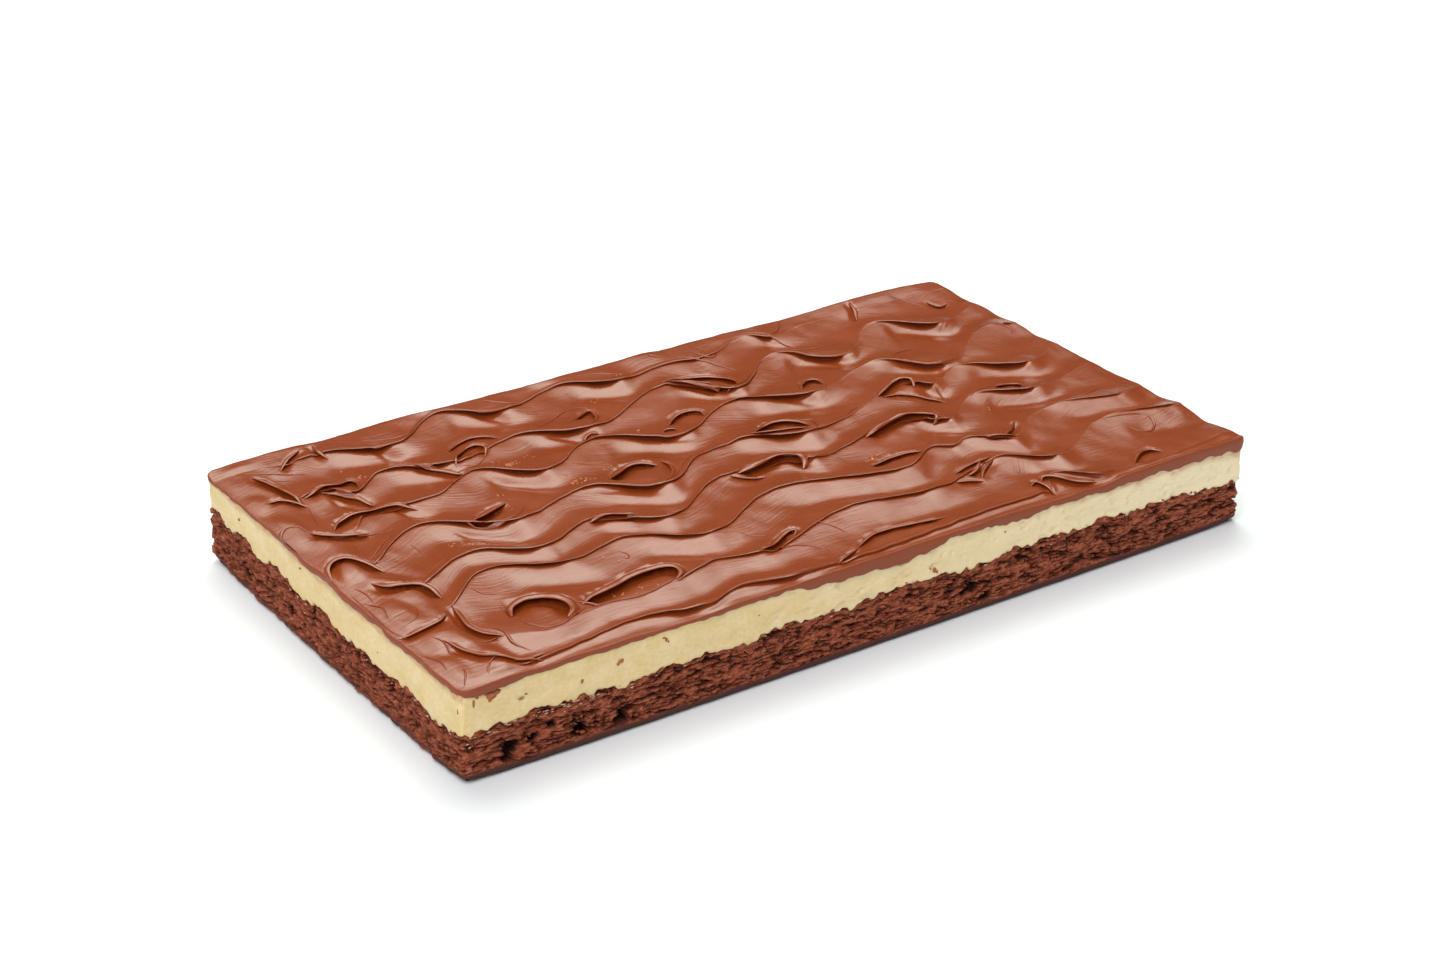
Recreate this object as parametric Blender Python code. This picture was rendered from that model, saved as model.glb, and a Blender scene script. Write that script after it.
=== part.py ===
"""A tray-baked brownie slab: open chocolate crumb, a band of pale cream and wavy milk-chocolate icing.

The slab's long side runs along X and its short side along Y. It rests on the XY plane, with the origin at
the middle of its underside. Sizes are in millimetres here, and turn into metres where a mesh is made.
"""
import math

import bpy
from mathutils import Vector, noise

MM = 0.001

# Driving dimensions of the slab.
LENGTH = 360.0
WIDTH = 200.0
CAKE_TOP = 19.2
CREAM_TOP = 35.2
SEAM = 0.3                  # gap kept between two layers
STATION = 5.0               # spacing of the columns round the sides

# Cake: a crumbly cut side over a smooth, rounded baked edge.
CRAG_LEVELS = (5.8, 9.0, 12.0, 15.0)
CRUMB_RELIEF = 1.1          # how far crags and hollows leave the cut plane
CUT_INSET = 0.5             # the cut side lies this far inside the slab's outline, on average
CRUMB_GRAIN = 7.0           # length of one crag along the side
CRUMB_LAYER = 3.2           # height of one flake
CAKE_BELLY = 1.1            # the baked edge bows out this far halfway along a side
BAKED_EDGE = 2.6            # height of the rounded baked edge
BAKED_TURN = 0.6            # height at which it turns under
BAKED_INSET = 3.2           # the flat underside starts this far in
CORNER_LIFT = 1.8           # the baked edge curls up at the corners
CORNER_REACH = 22.0
CRAG_HEIGHT = 0.9           # raggedness of the cake's upper edge, up and down
CRAG_SHIFT = 0.4            # and in and out
PIT_DEPTH = 3.0
PIT_RADIUS = 4.6
SIDE_INSET = 4.0            # a layer's edge slopes over this width to its flat middle

# Cream: a soft, nearly smooth cut side.
CREAM_LEVELS = (25.6, 29.6)
CREAM_RELIEF = 0.45
CREAM_RIPPLE = 17.0

# Icing: knife strokes whose upper edge stands up as a lip that leans to the front.
ICING_TROUGH = 1.7          # thickness in the bottom of a stroke
BAND_RISE = 1.3             # a stroke's floor climbs this much towards the lip behind it
LIP_LOW = 0.9               # lip where a stroke runs to the back
LIP_HIGH = 3.2              # lip where a stroke runs to the front
LIP_LEAN = 0.8
LIP_FOOT = 1.5              # the lip's front meets the stroke this far ahead of the crest
LIP_HEEL = 2.2              # and falls away this far behind it
FULL_LIP_SLOPE = 0.55       # plan slope at which the lip reaches its full height
SLOPE_REACH = 5.0           # distance either side over which that slope is taken
OVERHANG = 1.5              # the icing's rolled edge stands out past the cake
HANG_OUT = 0.3              # and so does its lower edge
ROLL_DROP = 0.5             # the rim lies this much lower than the strokes
ROLL_WAVES = 5              # swells along each rolled edge
ROLL_EBB = 0.7              # the roll is this much slimmer between swells
END_FADE = 9.0              # the lips die down this close to the ends
END_LIP = 0.35              # to this share of their height
FLOOR_SHARES = (0.35, 0.7)  # where a stroke's floor has its rows of points

# Heights above the underside at turning points, as (place along the side, height): front, left, back, right.
CAKE_EDGE = (
    ((-180, 18.8), (-110, 19.4), (-40, 19.9), (10, 21.3), (42, 19.4), (62, 21.6), (108, 21.5),
     (135, 20.4), (180, 19.2)),
    ((-100, 18.8), (-82, 17.0), (-50, 18.4), (-10, 18.1), (5, 20.7), (20, 18.6), (42, 22.2),
     (56, 19.3), (72, 23.2), (84, 20.4), (100, 23.6)),
    ((-180, 23.6), (-150, 20.2), (-60, 19.0), (40, 20.6), (110, 19.0), (180, 20.2)),
    ((-100, 19.2), (-40, 20.4), (30, 18.8), (100, 20.2)),
)
ICING_EDGE = (
    ((-180, 34.4), (-172, 33.9), (-150, 35.0), (-44, 35.0), (-30, 32.6), (-12, 32.4), (4, 31.6),
     (14, 32.2), (28, 35.0), (48, 34.8), (60, 33.2), (74, 34.8), (110, 33.9), (130, 34.3),
     (146, 33.3), (158, 34.0), (180, 32.4)),
    ((-100, 34.4), (-88, 34.9), (-40, 34.1), (0, 33.7), (40, 34.0), (70, 33.3), (100, 33.2)),
    ((-180, 33.2), (-60, 34.6), (60, 33.9), (180, 33.6)),
    ((-100, 32.4), (-60, 34.0), (20, 33.8), (100, 33.6)),
)

# Holes torn in the cut crumb: (place along the side, height), front and left side.
PITS_FRONT = ((-161, 9.0), (-133, 6.2), (-116, 5.4), (41, 11.0), (96, 7.0), (4, 6.0))
PITS_LEFT = ((-25, 7.5), (30, 8.5), (68, 7.5))

# Crest lines of the icing's lips, front to back: (x, y) where each one turns.
STROKES = (
    ((-180, -95), (-146, -96.5), (-106, -92), (-78, -97), (-64, -93), (-36, -97), (6, -97),
     (56, -94.5), (82, -94), (91, -84), (108, -96), (144, -97), (180, -94)),
    ((-180, -72), (-150, -74), (-134, -58), (-119, -74), (-100, -67), (-79, -65), (-70, -76),
     (-58, -71), (-38, -76), (6, -64), (46, -70), (82, -61), (104, -74), (144, -56), (180, -63)),
    ((-180, -52), (-160, -50), (-132, -32), (-102, -43), (-79, -38), (-48, -53), (-8, -36),
     (48, -52), (72, -38), (99, -52), (121, -40), (151, -35), (180, -28)),
    ((-180, -34), (-158, -30), (-131, -18), (-106, -29), (-79, -19), (-54, -33), (-16, -15),
     (10, -15), (22, -23), (71, -13), (88, -24), (126, -9), (142, -16), (180, -12)),
    ((-180, -14), (-164, -6), (-137, 12), (-102, -5), (-69, 5), (-38, -10), (-12, 6), (6, 8),
     (34, -2), (64, 4), (96, 17), (104, 7), (124, 16), (154, 7), (180, 12)),
    ((-180, 28), (-154, 17), (-146, 34), (-119, 31), (-96, 41), (-71, 26), (-42, 41), (-9, 24),
     (24, 40), (61, 27), (86, 38), (116, 42), (140, 30), (164, 43), (180, 40)),
    ((-180, 54), (-152, 60), (-142, 50), (-126, 61), (-98, 52), (-66, 60), (-36, 50), (11, 69),
     (32, 48), (66, 70), (86, 64), (131, 73), (152, 56), (180, 66)),
    ((-180, 90), (-140, 88), (-109, 79), (-82, 96), (-56, 84), (-27, 93), (-1, 83), (23, 89),
     (41, 80), (69, 92), (79, 85), (96, 92), (130, 84), (160, 90), (180, 88)),
)

# Pockets that the knife folded open: (x, y, half length, half width, turn in degrees, depth).
POCKETS = (
    (-131, -68, 12, 9, 0, 2.0), (-91, -72, 17, 5, 0, 2.0), (6, -20, 13, 5, -15, 2.0),
    (-67, -24, 10, 4, -30, 1.4), (70, -17, 14, 4, 10, 1.4), (-42, 8, 12, 6, 10, 1.4),
    (27, 11, 11, 4, -10, 1.5), (30, 58, 12, 7, -45, 1.8), (-91, 54, 11, 5, 40, 1.5),
    (-40, 62, 14, 6, 25, 1.2), (2, 34, 8, 6, 30, 1.2), (91, 11, 10, 5, 30, 1.5),
    (-161, -32, 7, 5, 0, 1.5), (130, 68, 12, 4, -35, 1.3), (108, 36, 12, 4, -25, 1.3),
)

# Surface values: colour, roughness.
CAKE_LOOK = ("cake_crumb", (0.155, 0.043, 0.022), 0.85)
CREAM_LOOK = ("cream_filling", (0.80, 0.67, 0.36), 0.55)
ICING_LOOK = ("milk_chocolate_icing", (0.27, 0.065, 0.024), 0.32)


def curve_through(points):
    """Return a function through the points that turns only where they do."""
    gaps = [(b[0] - a[0], (b[1] - a[1]) / (b[0] - a[0])) for a, b in zip(points, points[1:])]
    slopes = [0.0]
    for (_, before), (_, after) in zip(gaps, gaps[1:]):
        slopes.append(2 * before * after / (before + after) if before * after > 0 else 0.0)
    slopes.append(0.0)

    def value(x):
        x = min(max(x, points[0][0]), points[-1][0])
        i = max(k for k in range(len(gaps)) if points[k][0] <= x)
        width = gaps[i][0]
        t = (x - points[i][0]) / width
        rise = 3 * t * t - 2 * t ** 3
        start_pull = slopes[i] * width * t * (1 - t) ** 2
        end_pull = slopes[i + 1] * width * t * t * (t - 1)
        return points[i][1] * (1 - rise) + points[i + 1][1] * rise + start_pull + end_pull

    return value


def grain(x, y, z, length, height):
    """Return a smooth, repeatable unevenness between about -1 and 1."""
    return 1.6 * noise.noise(Vector((x / length, y / length, z / height)))


def stations():
    """Return (x, y, normal x, normal y) round the slab, from the front left corner by the right."""
    half_length = LENGTH / 2
    half_width = WIDTH / 2
    along = int(LENGTH / STATION)
    across = int(WIDTH / STATION)
    front = [(-half_length + i * STATION, -half_width, 0, -1) for i in range(along)]
    right = [(half_length, -half_width + i * STATION, 1, 0) for i in range(across)]
    back = [(-x, half_width, 0, 1) for x, _, _, _ in front]
    left = [(-half_length, -y, -1, 0) for _, y, _, _ in right]
    turned = []
    for side, corner in ((front, (-1, -1)), (right, (1, -1)), (back, (1, 1)), (left, (-1, 1))):
        turned.append(side[0][:2] + corner)
        turned.extend(side[1:])
    return turned


def side_height(profiles, x, y):
    """Read a height off the profile of the side that the point lies on."""
    front, left, back, right = profiles
    if abs(y) >= WIDTH / 2:
        return front(x) if y < 0 else back(x)
    return left(y) if x < 0 else right(y)


CAKE_PROFILES = [curve_through(profile) for profile in CAKE_EDGE]
ICING_PROFILES = [curve_through(profile) for profile in ICING_EDGE]
CRESTS = [curve_through(stroke) for stroke in STROKES]


def cake_edge(x, y):
    """Return how far in, and how high, the cake's ragged upper edge lies."""
    height = side_height(CAKE_PROFILES, x, y) + CRAG_HEIGHT * grain(x, y, CAKE_TOP, CRUMB_GRAIN, CRUMB_LAYER)
    inset = CUT_INSET + CRAG_SHIFT * grain(x, y, CREAM_TOP, CRUMB_GRAIN, CRUMB_LAYER)
    return inset, height


def icing_edge(x, y):
    """Return the height of the icing's lower edge."""
    return side_height(ICING_PROFILES, x, y)


def pit(x, y, z):
    """Return how deep a torn hole is at a point of the cut side."""
    holes = PITS_FRONT if y <= -WIDTH / 2 else PITS_LEFT if x <= -LENGTH / 2 else ()
    place = x if y <= -WIDTH / 2 else y
    depth = 0.0
    for centre, height in holes:
        reach = math.hypot(place - centre, z - height) / PIT_RADIUS
        depth = max(depth, PIT_DEPTH * (1 - reach * reach)) if reach < 1 else depth
    return depth


def belly(x, y):
    """Return how far the baked edge bows out: most halfway along a side, none at the corners."""
    return CAKE_BELLY * min(1 - (abs(x) * 2 / LENGTH) ** 4 + 1 - (abs(y) * 2 / WIDTH) ** 4, 1)


def corner_lift(x, y):
    """Return how far the baked edge curls up near a corner."""
    distance = LENGTH / 2 - abs(x) + WIDTH / 2 - abs(y)
    return CORNER_LIFT * max(0.0, 1 - distance / CORNER_REACH) ** 2


def make_material(look):
    name, colour, roughness = look
    material = bpy.data.materials.new(name)
    material.use_nodes = True
    surface = material.node_tree.nodes["Principled BSDF"]
    surface.inputs["Base Color"].default_value = (*colour, 1)
    surface.inputs["Roughness"].default_value = roughness
    surface.inputs["Metallic"].default_value = 0
    return material


def add_object(name, points, faces, look):
    """Make a mesh object from millimetre points, with its material."""
    mesh = bpy.data.meshes.new(name)
    mesh.from_pydata([Vector(point) * MM for point in points], [], faces)
    mesh.update()
    mesh.materials.append(make_material(look))
    mesh.shade_smooth()
    mesh.set_sharp_from_angle(angle=math.radians(35))
    piece = bpy.data.objects.new(name, mesh)
    bpy.context.collection.objects.link(piece)
    return piece


def band_faces(lower, upper, edge_above=False):
    """Join two closed rows of point numbers, both running anticlockwise seen from above.

    Two layers meet along such a band. Both split it along the same diagonals, from a point of the row at
    the layers' outer edge, so that the seam between them keeps its width.
    """
    faces = []
    for i in range(len(lower)):
        j = (i + 1) % len(lower)
        if edge_above:
            faces += [(lower[i], lower[j], upper[i]), (lower[j], upper[j], upper[i])]
        else:
            faces += [(lower[i], lower[j], upper[j]), (lower[i], upper[j], upper[i])]
    return faces


def stacked_body(name, rings, look):
    """Close a stack of rings, bottom first, with a flat face below and above."""
    count = len(rings[0])
    points = [point for ring in rings for point in ring]
    rows = [range(level * count, (level + 1) * count) for level in range(len(rings))]
    faces = []
    for level, (lower, upper) in enumerate(zip(rows, rows[1:])):
        faces += band_faces(lower, upper, edge_above=level == 0)
    faces.append(tuple(reversed(rows[0])))
    faces.append(tuple(rows[-1]))
    return add_object(name, points, faces, look)


def ring_at(height, inset):
    """Place a ring; height and inset are numbers or functions of (x, y)."""
    ring = []
    for x, y, out_x, out_y in stations():
        in_by = inset(x, y) if callable(inset) else inset
        up_by = height(x, y) if callable(height) else height
        ring.append((x - out_x * in_by, y - out_y * in_by, up_by))
    return ring


def build_cake():
    """The cake: flat underside, rounded baked edge, four rows of crags and a ragged upper edge."""
    def crags(level):
        bow = 1 - level / CAKE_TOP
        return lambda x, y: (CUT_INSET + CRUMB_RELIEF * grain(x, y, level, CRUMB_GRAIN, CRUMB_LAYER)
                             + pit(x, y, level) - belly(x, y) * bow)

    rings = [
        ring_at(0.0, BAKED_INSET),
        ring_at(lambda x, y: BAKED_TURN + corner_lift(x, y), lambda x, y: BAKED_TURN - belly(x, y)),
        ring_at(lambda x, y: BAKED_EDGE + corner_lift(x, y) / 2, lambda x, y: -belly(x, y)),
    ]
    rings += [ring_at(level, crags(level)) for level in CRAG_LEVELS]
    rings.append(ring_at(lambda x, y: cake_edge(x, y)[1], lambda x, y: cake_edge(x, y)[0]))
    rings.append(ring_at(CAKE_TOP, SIDE_INSET))
    return stacked_body("cake_base", rings, CAKE_LOOK)


def build_cream():
    """The cream: it fills the cake's ragged edge below and the icing's rolled edge above."""
    def face(level):
        return lambda x, y: CUT_INSET + CREAM_RELIEF * grain(x, y, level, CREAM_RIPPLE, CREAM_RIPPLE / 2)

    rings = [
        ring_at(CAKE_TOP + SEAM, SIDE_INSET),
        ring_at(lambda x, y: cake_edge(x, y)[1] + SEAM, lambda x, y: cake_edge(x, y)[0]),
    ]
    rings += [ring_at(level, face(level)) for level in CREAM_LEVELS]
    rings.append(ring_at(lambda x, y: icing_edge(x, y) - SEAM, CUT_INSET))
    rings.append(ring_at(CREAM_TOP - SEAM, SIDE_INSET))
    return stacked_body("cream_layer", rings, CREAM_LOOK)


def lip_height(crest, x):
    """Return a lip's height: high where its stroke runs to the front, low where it runs to the back."""
    slope = (crest(x + SLOPE_REACH) - crest(x - SLOPE_REACH)) / (2 * SLOPE_REACH)
    share = min(max(0.5 - slope / (2 * FULL_LIP_SLOPE), 0), 1)
    fade = min(1.0, END_LIP + (LENGTH / 2 - abs(x)) / END_FADE)
    return (LIP_LOW + (LIP_HIGH - LIP_LOW) * share) * fade


def pocket_depth(x, y):
    """Return how deep a folded pocket is at a place on the icing."""
    depth = 0.0
    for centre_x, centre_y, half_length, half_width, turn, deepest in POCKETS:
        angle = math.radians(turn)
        along = ((x - centre_x) * math.cos(angle) + (y - centre_y) * math.sin(angle)) / half_length
        across = ((y - centre_y) * math.cos(angle) - (x - centre_x) * math.sin(angle)) / half_width
        reach = along * along + across * across
        depth = max(depth, deepest * (1 - reach) ** 2) if reach < 1 else depth
    return depth


def icing_column(x):
    """Return the (y, z) points of the icing's top from front to back at one x."""
    trough = CREAM_TOP + ICING_TROUGH
    rim = trough - ROLL_DROP
    column = [(-WIDTH / 2, rim)]
    behind = -WIDTH / 2
    for crest in CRESTS:
        y = crest(x)
        lip = lip_height(crest, x)
        ahead = y - LIP_FOOT
        for share in FLOOR_SHARES:
            floor_y = behind + (ahead - behind) * share
            column.append((floor_y, trough + BAND_RISE * share - pocket_depth(x, floor_y)))
        column.append((ahead, trough + BAND_RISE - pocket_depth(x, ahead) / 2))
        column.append((y - LIP_LEAN, trough + BAND_RISE / 2 + lip))
        behind = y + LIP_HEEL
        column.append((behind, trough + lip / 4))
    column.append((WIDTH / 2, rim))
    return column


def build_icing():
    """The icing: a wavy top, a rolled edge that hangs over the cream, and a flat bed."""
    xs = [-LENGTH / 2 + i * STATION for i in range(int(LENGTH / STATION) + 1)]
    columns = [[(x, y, z) for y, z in icing_column(x)] for x in xs]
    depth = len(columns[0])
    points = [point for column in columns for point in column]
    faces = []
    for i in range(len(xs) - 1):
        for j in range(depth - 1):
            start = i * depth + j
            faces.append((start, start + depth, start + depth + 1, start + 1))

    rim = [i * depth for i in range(len(xs))]
    rim += [(len(xs) - 1) * depth + j for j in range(1, depth)]
    rim += [i * depth + depth - 1 for i in range(len(xs) - 2, -1, -1)]
    rim += [j for j in range(depth - 2, 0, -1)]

    bed_share_x = 1 - SIDE_INSET * 2 / LENGTH
    bed_share_y = 1 - SIDE_INSET * 2 / WIDTH
    rolled = []
    hanging = []
    bed = []
    for number in rim:
        x, y, z = points[number]
        out_x = (abs(x) >= LENGTH / 2) * math.copysign(1, x)
        out_y = (abs(y) >= WIDTH / 2) * math.copysign(1, y)
        place = x / LENGTH if out_y else y / WIDTH
        out_by = OVERHANG - ROLL_EBB * (0.5 - 0.5 * math.cos(2 * math.pi * ROLL_WAVES * place))
        edge = icing_edge(x, y)
        rolled.append((x + out_x * out_by, y + out_y * out_by, (edge + z) / 2))
        hanging.append((x + out_x * HANG_OUT, y + out_y * HANG_OUT, edge))
        bed.append((x * bed_share_x, y * bed_share_y, CREAM_TOP))

    first = len(points)
    count = len(rim)
    points += bed + hanging + rolled
    rows = [list(range(first + k * count, first + (k + 1) * count)) for k in range(3)] + [rim]
    for level, (lower, upper) in enumerate(zip(rows, rows[1:])):
        faces += band_faces(lower, upper, edge_above=level == 0)
    faces.append(tuple(reversed(rows[0])))
    return add_object("chocolate_icing", points, faces, ICING_LOOK)


def main():
    for old in list(bpy.data.objects):
        bpy.data.objects.remove(old, do_unlink=True)
    build_cake()
    build_cream()
    build_icing()


main()
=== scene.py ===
"""Dress a tray-baked brownie slab: open chocolate crumb, pale cream and milk chocolate spread in waves.

The file is laid out as an add-on and run as a script. Lengths are in millimetres here, in the frame of the
solids, and turn into metres where a mesh is made.
"""
import math

import bmesh
import bpy
import numpy as np
from bpy.props import FloatProperty, FloatVectorProperty, IntProperty, PointerProperty
from mathutils import Matrix, Vector, noise
from mathutils.bvhtree import BVHTree


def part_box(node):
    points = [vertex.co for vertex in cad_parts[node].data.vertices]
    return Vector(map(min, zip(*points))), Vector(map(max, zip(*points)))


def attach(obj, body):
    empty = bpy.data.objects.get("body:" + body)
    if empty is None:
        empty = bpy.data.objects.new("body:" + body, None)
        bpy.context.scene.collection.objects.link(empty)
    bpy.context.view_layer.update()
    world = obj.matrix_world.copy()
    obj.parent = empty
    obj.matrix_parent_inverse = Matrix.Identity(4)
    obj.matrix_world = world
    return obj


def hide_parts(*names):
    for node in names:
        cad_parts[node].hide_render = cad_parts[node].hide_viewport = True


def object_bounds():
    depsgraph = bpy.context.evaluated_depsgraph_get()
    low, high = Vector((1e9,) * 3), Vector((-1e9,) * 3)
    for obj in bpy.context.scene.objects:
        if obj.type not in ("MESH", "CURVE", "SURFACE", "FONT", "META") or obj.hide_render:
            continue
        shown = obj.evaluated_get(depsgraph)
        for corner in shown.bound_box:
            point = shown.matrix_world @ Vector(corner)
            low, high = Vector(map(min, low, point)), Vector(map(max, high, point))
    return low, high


bl_info = {
    "name": "Brownie slab",
    "version": (1, 0, 0),
    "blender": (4, 5, 0),
    "location": "3D View > Sidebar > Brownie",
    "description": "Makes a brownie slab with a cream layer and wavy milk-chocolate icing",
    "category": "Object",
}

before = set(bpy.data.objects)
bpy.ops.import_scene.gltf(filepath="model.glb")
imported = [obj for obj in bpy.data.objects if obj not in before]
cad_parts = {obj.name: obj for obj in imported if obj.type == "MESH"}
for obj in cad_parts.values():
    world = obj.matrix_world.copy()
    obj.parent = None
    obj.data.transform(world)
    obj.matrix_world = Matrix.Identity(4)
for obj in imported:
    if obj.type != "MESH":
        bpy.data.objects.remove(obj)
CAD_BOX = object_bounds()

MM = 0.001
BOX_MARGIN = 0.05 * MM

# The slab's length and width, from the frame. The icing's rolled edge stands out past both.
OVERHANG = 1.5
ICING_LOW, ICING_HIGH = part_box("chocolate_icing")
LENGTH = (ICING_HIGH.x - ICING_LOW.x) / MM - 2 * OVERHANG
WIDTH = (ICING_HIGH.y - ICING_LOW.y) / MM - 2 * OVERHANG
HALF_X = LENGTH / 2
HALF_Y = WIDTH / 2
SIDE_BAND = 1.5                      # points this near a cut side count as on it

# Heights above the underside: the cream's top and the icing's troughs.
CREAM_TOP = 35.2
ICING_TROUGH = 1.7
TROUGH = CREAM_TOP + ICING_TROUGH

# Radii of the corners, and of the lower edge that was baked round on the tray.
CAKE_CORNER = 2.5
CREAM_CORNER = 1.5
ICING_CORNER = 3.5
BAKED_RADIUS = 2.8

# The line where the knife set down on the left: its x, how far and at which y it steps, and its wander.
START_X = -159.5
START_STEP = 4.0
START_STEP_Y = -16
START_WANDER = 1.2
FINE_FROM, FINE_TO = -170.0, -148.0  # the stretch there with mesh columns closer together

# The lips on the strokes, as distances from their lines: how far behind a lip fades, and where its rim in
# front falls from full height to nothing. The wobble is how far their lines stray.
LIP_FADE = 0.8
RIM_FULL, RIM_END = 0.58, 0.95
CREST_WOBBLE = 0.35

# Folds: their least height, what a millimetre in their table adds to it, and how thin their ends are.
FOLD_LEAST = 0.15
FOLD_SHARE = 0.42
FOLD_END = 0.12
HOLLOW_SHARE = 1.35                  # depth of the hollow in front of a fold a millimetre high

# Half sizes of nubs, crumbs, crumbs in the seam and bits of cream, and how much longer nubs and bits are.
NUB_HALF = (0.2, 0.5)
NUB_LONG = (1.0, 1.8)
CRUMB_HALF = (0.3, 0.75)
SEAM_HALF = (0.3, 0.7)
BIT_HALF = (0.2, 0.42)
BIT_LONG = (1.6, 3.0)
BITS_FROM, BITS_SPAN = -179, 62      # most bits lie on this stretch of the front

# Real sizes that the materials' patterns are drawn from. A pair is the size across and up.
CHOCOLATE_PATCH = 34.0               # slow darker patches in the chocolate
DIMPLE_SIZE = 2.6                    # faint dimples in it
DIMPLE_DEPTH = 0.15
DRAG_LENGTH = 14.0                   # marks that the knife dragged in it
DRAG_SPACING = 1.1
DRAG_SLANT = math.radians(28)
DRAG_DEPTH = 0.22
CREAM_PATCH = 11.0                   # warmer patches in the cream
CREAM_GRAIN = (2.0, 1.4)             # its soft grain
CREAM_DEPTH = 0.35
PALER_FROM, PALER_TO = -80.0, 150.0  # the x where the cream begins to be paler, and where it is palest
FLAKE_SIZE = (3.6, 1.1)              # flakes, pores and grain of the torn crumb
PORE_SIZE = (1.3, 0.7)
CRUMB_GRAIN = (0.7, 0.5)
CRUMB_DEPTH = 0.5
SMEAR_GRAIN = 0.9                    # smeared grains, drawn as coarse as they need to show

# The camera at the photograph's angle: millimetres, degrees, and the lens in millimetres.
CAMERA_TARGET = (23.9, 44.5, 2.2)
CAMERA_DISTANCE = 1122.0
CAMERA_AZIMUTH = -34.52
CAMERA_ELEVATION = 25.97
CAMERA_ROLL = 0.37
CAMERA_LENS = 67.25
CAMERA_SENSOR = 36.0
CAMERA_REACH = 50.0                  # metres

# The stage, in metres: the floor's half size, and how far from the slab it begins to glow and glows fully.
FLOOR_REACH = 40.0
GLOW_FROM = 1.2
GLOW_FULL = 2.6
ROOM_PALE_SIDE = (-0.5, -0.7, 0.5)   # the way to the paler side of the room

# Softboxes, all facing the slab: (name, colour, place in metres, width, height, watts).
SOFTBOXES = (
    ("back_softbox", "lamp", (0.5, 1.05, 1.9), 2.1, 1.9, 42),
    ("back_softbox_core", "lamp", (0.5, 1.04, 1.88), 1.2, 1.0, 12),
    ("front_softbox", "front_lamp", (-1.35, -1.0, 2.2), 2.2, 2.0, 68),
)

# Seeds of the random draws, for the places and for the shapes, and how many shapes a scatter has.
NUB_SEEDS = (41, 43)
CRUMB_SEEDS = (5, 11)
BIT_SEEDS = (8, 23)
SPECK_SHAPES_SEED = 17
LUMP_SHAPES = 12

# Heights above the underside at turning points, as (place along the side, height), for the front, left,
# back and right: the cake's torn upper edge, and the icing's lower edge.
CAKE_EDGE = (
    ((-180, 18.8), (-150, 20.2), (-110, 18.7), (-100, 20.1), (-72, 20.7), (-65, 18.7), (-55, 20.2),
     (-41, 21.0), (-32, 19.2), (-26, 21.0), (-17, 19.2), (-5, 20.7), (10, 21.7), (30, 19.8), (45, 19.2),
     (62, 21.8), (80, 20.9), (110, 21.7), (120, 20.5), (140, 20.7), (160, 19.5), (180, 19.2)),
    ((-100, 18.8), (-82, 16.4), (-58, 18.9), (-45, 16.9), (-30, 18.2), (-10, 18.1), (5, 20.8), (20, 18.4),
     (33, 21.3), (44, 22.4), (55, 19.2), (66, 21.2), (72, 23.6), (84, 20.2), (90, 24.0), (95, 22.6),
     (100, 23.6)),
    ((-180, 23.6), (-150, 20.2), (-60, 19.0), (40, 20.6), (110, 19.0), (180, 20.2)),
    ((-100, 19.2), (-40, 20.4), (30, 18.8), (100, 20.2)),
)
ICING_EDGE = (
    ((-180, 34.4), (-172, 33.9), (-150, 35.0), (-44, 35.0), (-30, 32.6), (-12, 32.4), (4, 31.6), (14, 32.2),
     (28, 35.0), (48, 34.8), (60, 33.2), (74, 34.8), (110, 33.9), (130, 34.3), (146, 33.3), (158, 34.0),
     (180, 32.4)),
    ((-100, 34.4), (-88, 34.8), (-60, 34.5), (-25, 34.1), (5, 34.3), (30, 35.0), (50, 35.5), (100, 35.6)),
    ((-180, 33.2), (-60, 34.6), (60, 33.9), (180, 33.6)),
    ((-100, 32.4), (-60, 34.0), (20, 33.8), (100, 33.6)),
)

# How high the icing's back edge swells above its troughs, as (x, height).
BACK_EDGE_RISE = ((-180, 1.2), (-150, 2.2), (-125, 1.7), (-95, 2.6), (-70, 2.2), (-40, 2.1), (-12, 2.5),
                  (10, 2.4), (21, 3.3), (32, 2.2), (62, 2.3), (90, 1.8), (118, 2.3), (141, 3.2), (160, 2.7),
                  (180, 1.7))

# How high the icing's front edge stands above its troughs, as (x, height).
FRONT_EDGE_RISE = ((-180, 0.2), (-75, 0.2), (-45, 0.6), (60, 0.8), (88, 0.3), (118, 1.6), (150, 1.8),
                   (180, 1.3))

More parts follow.
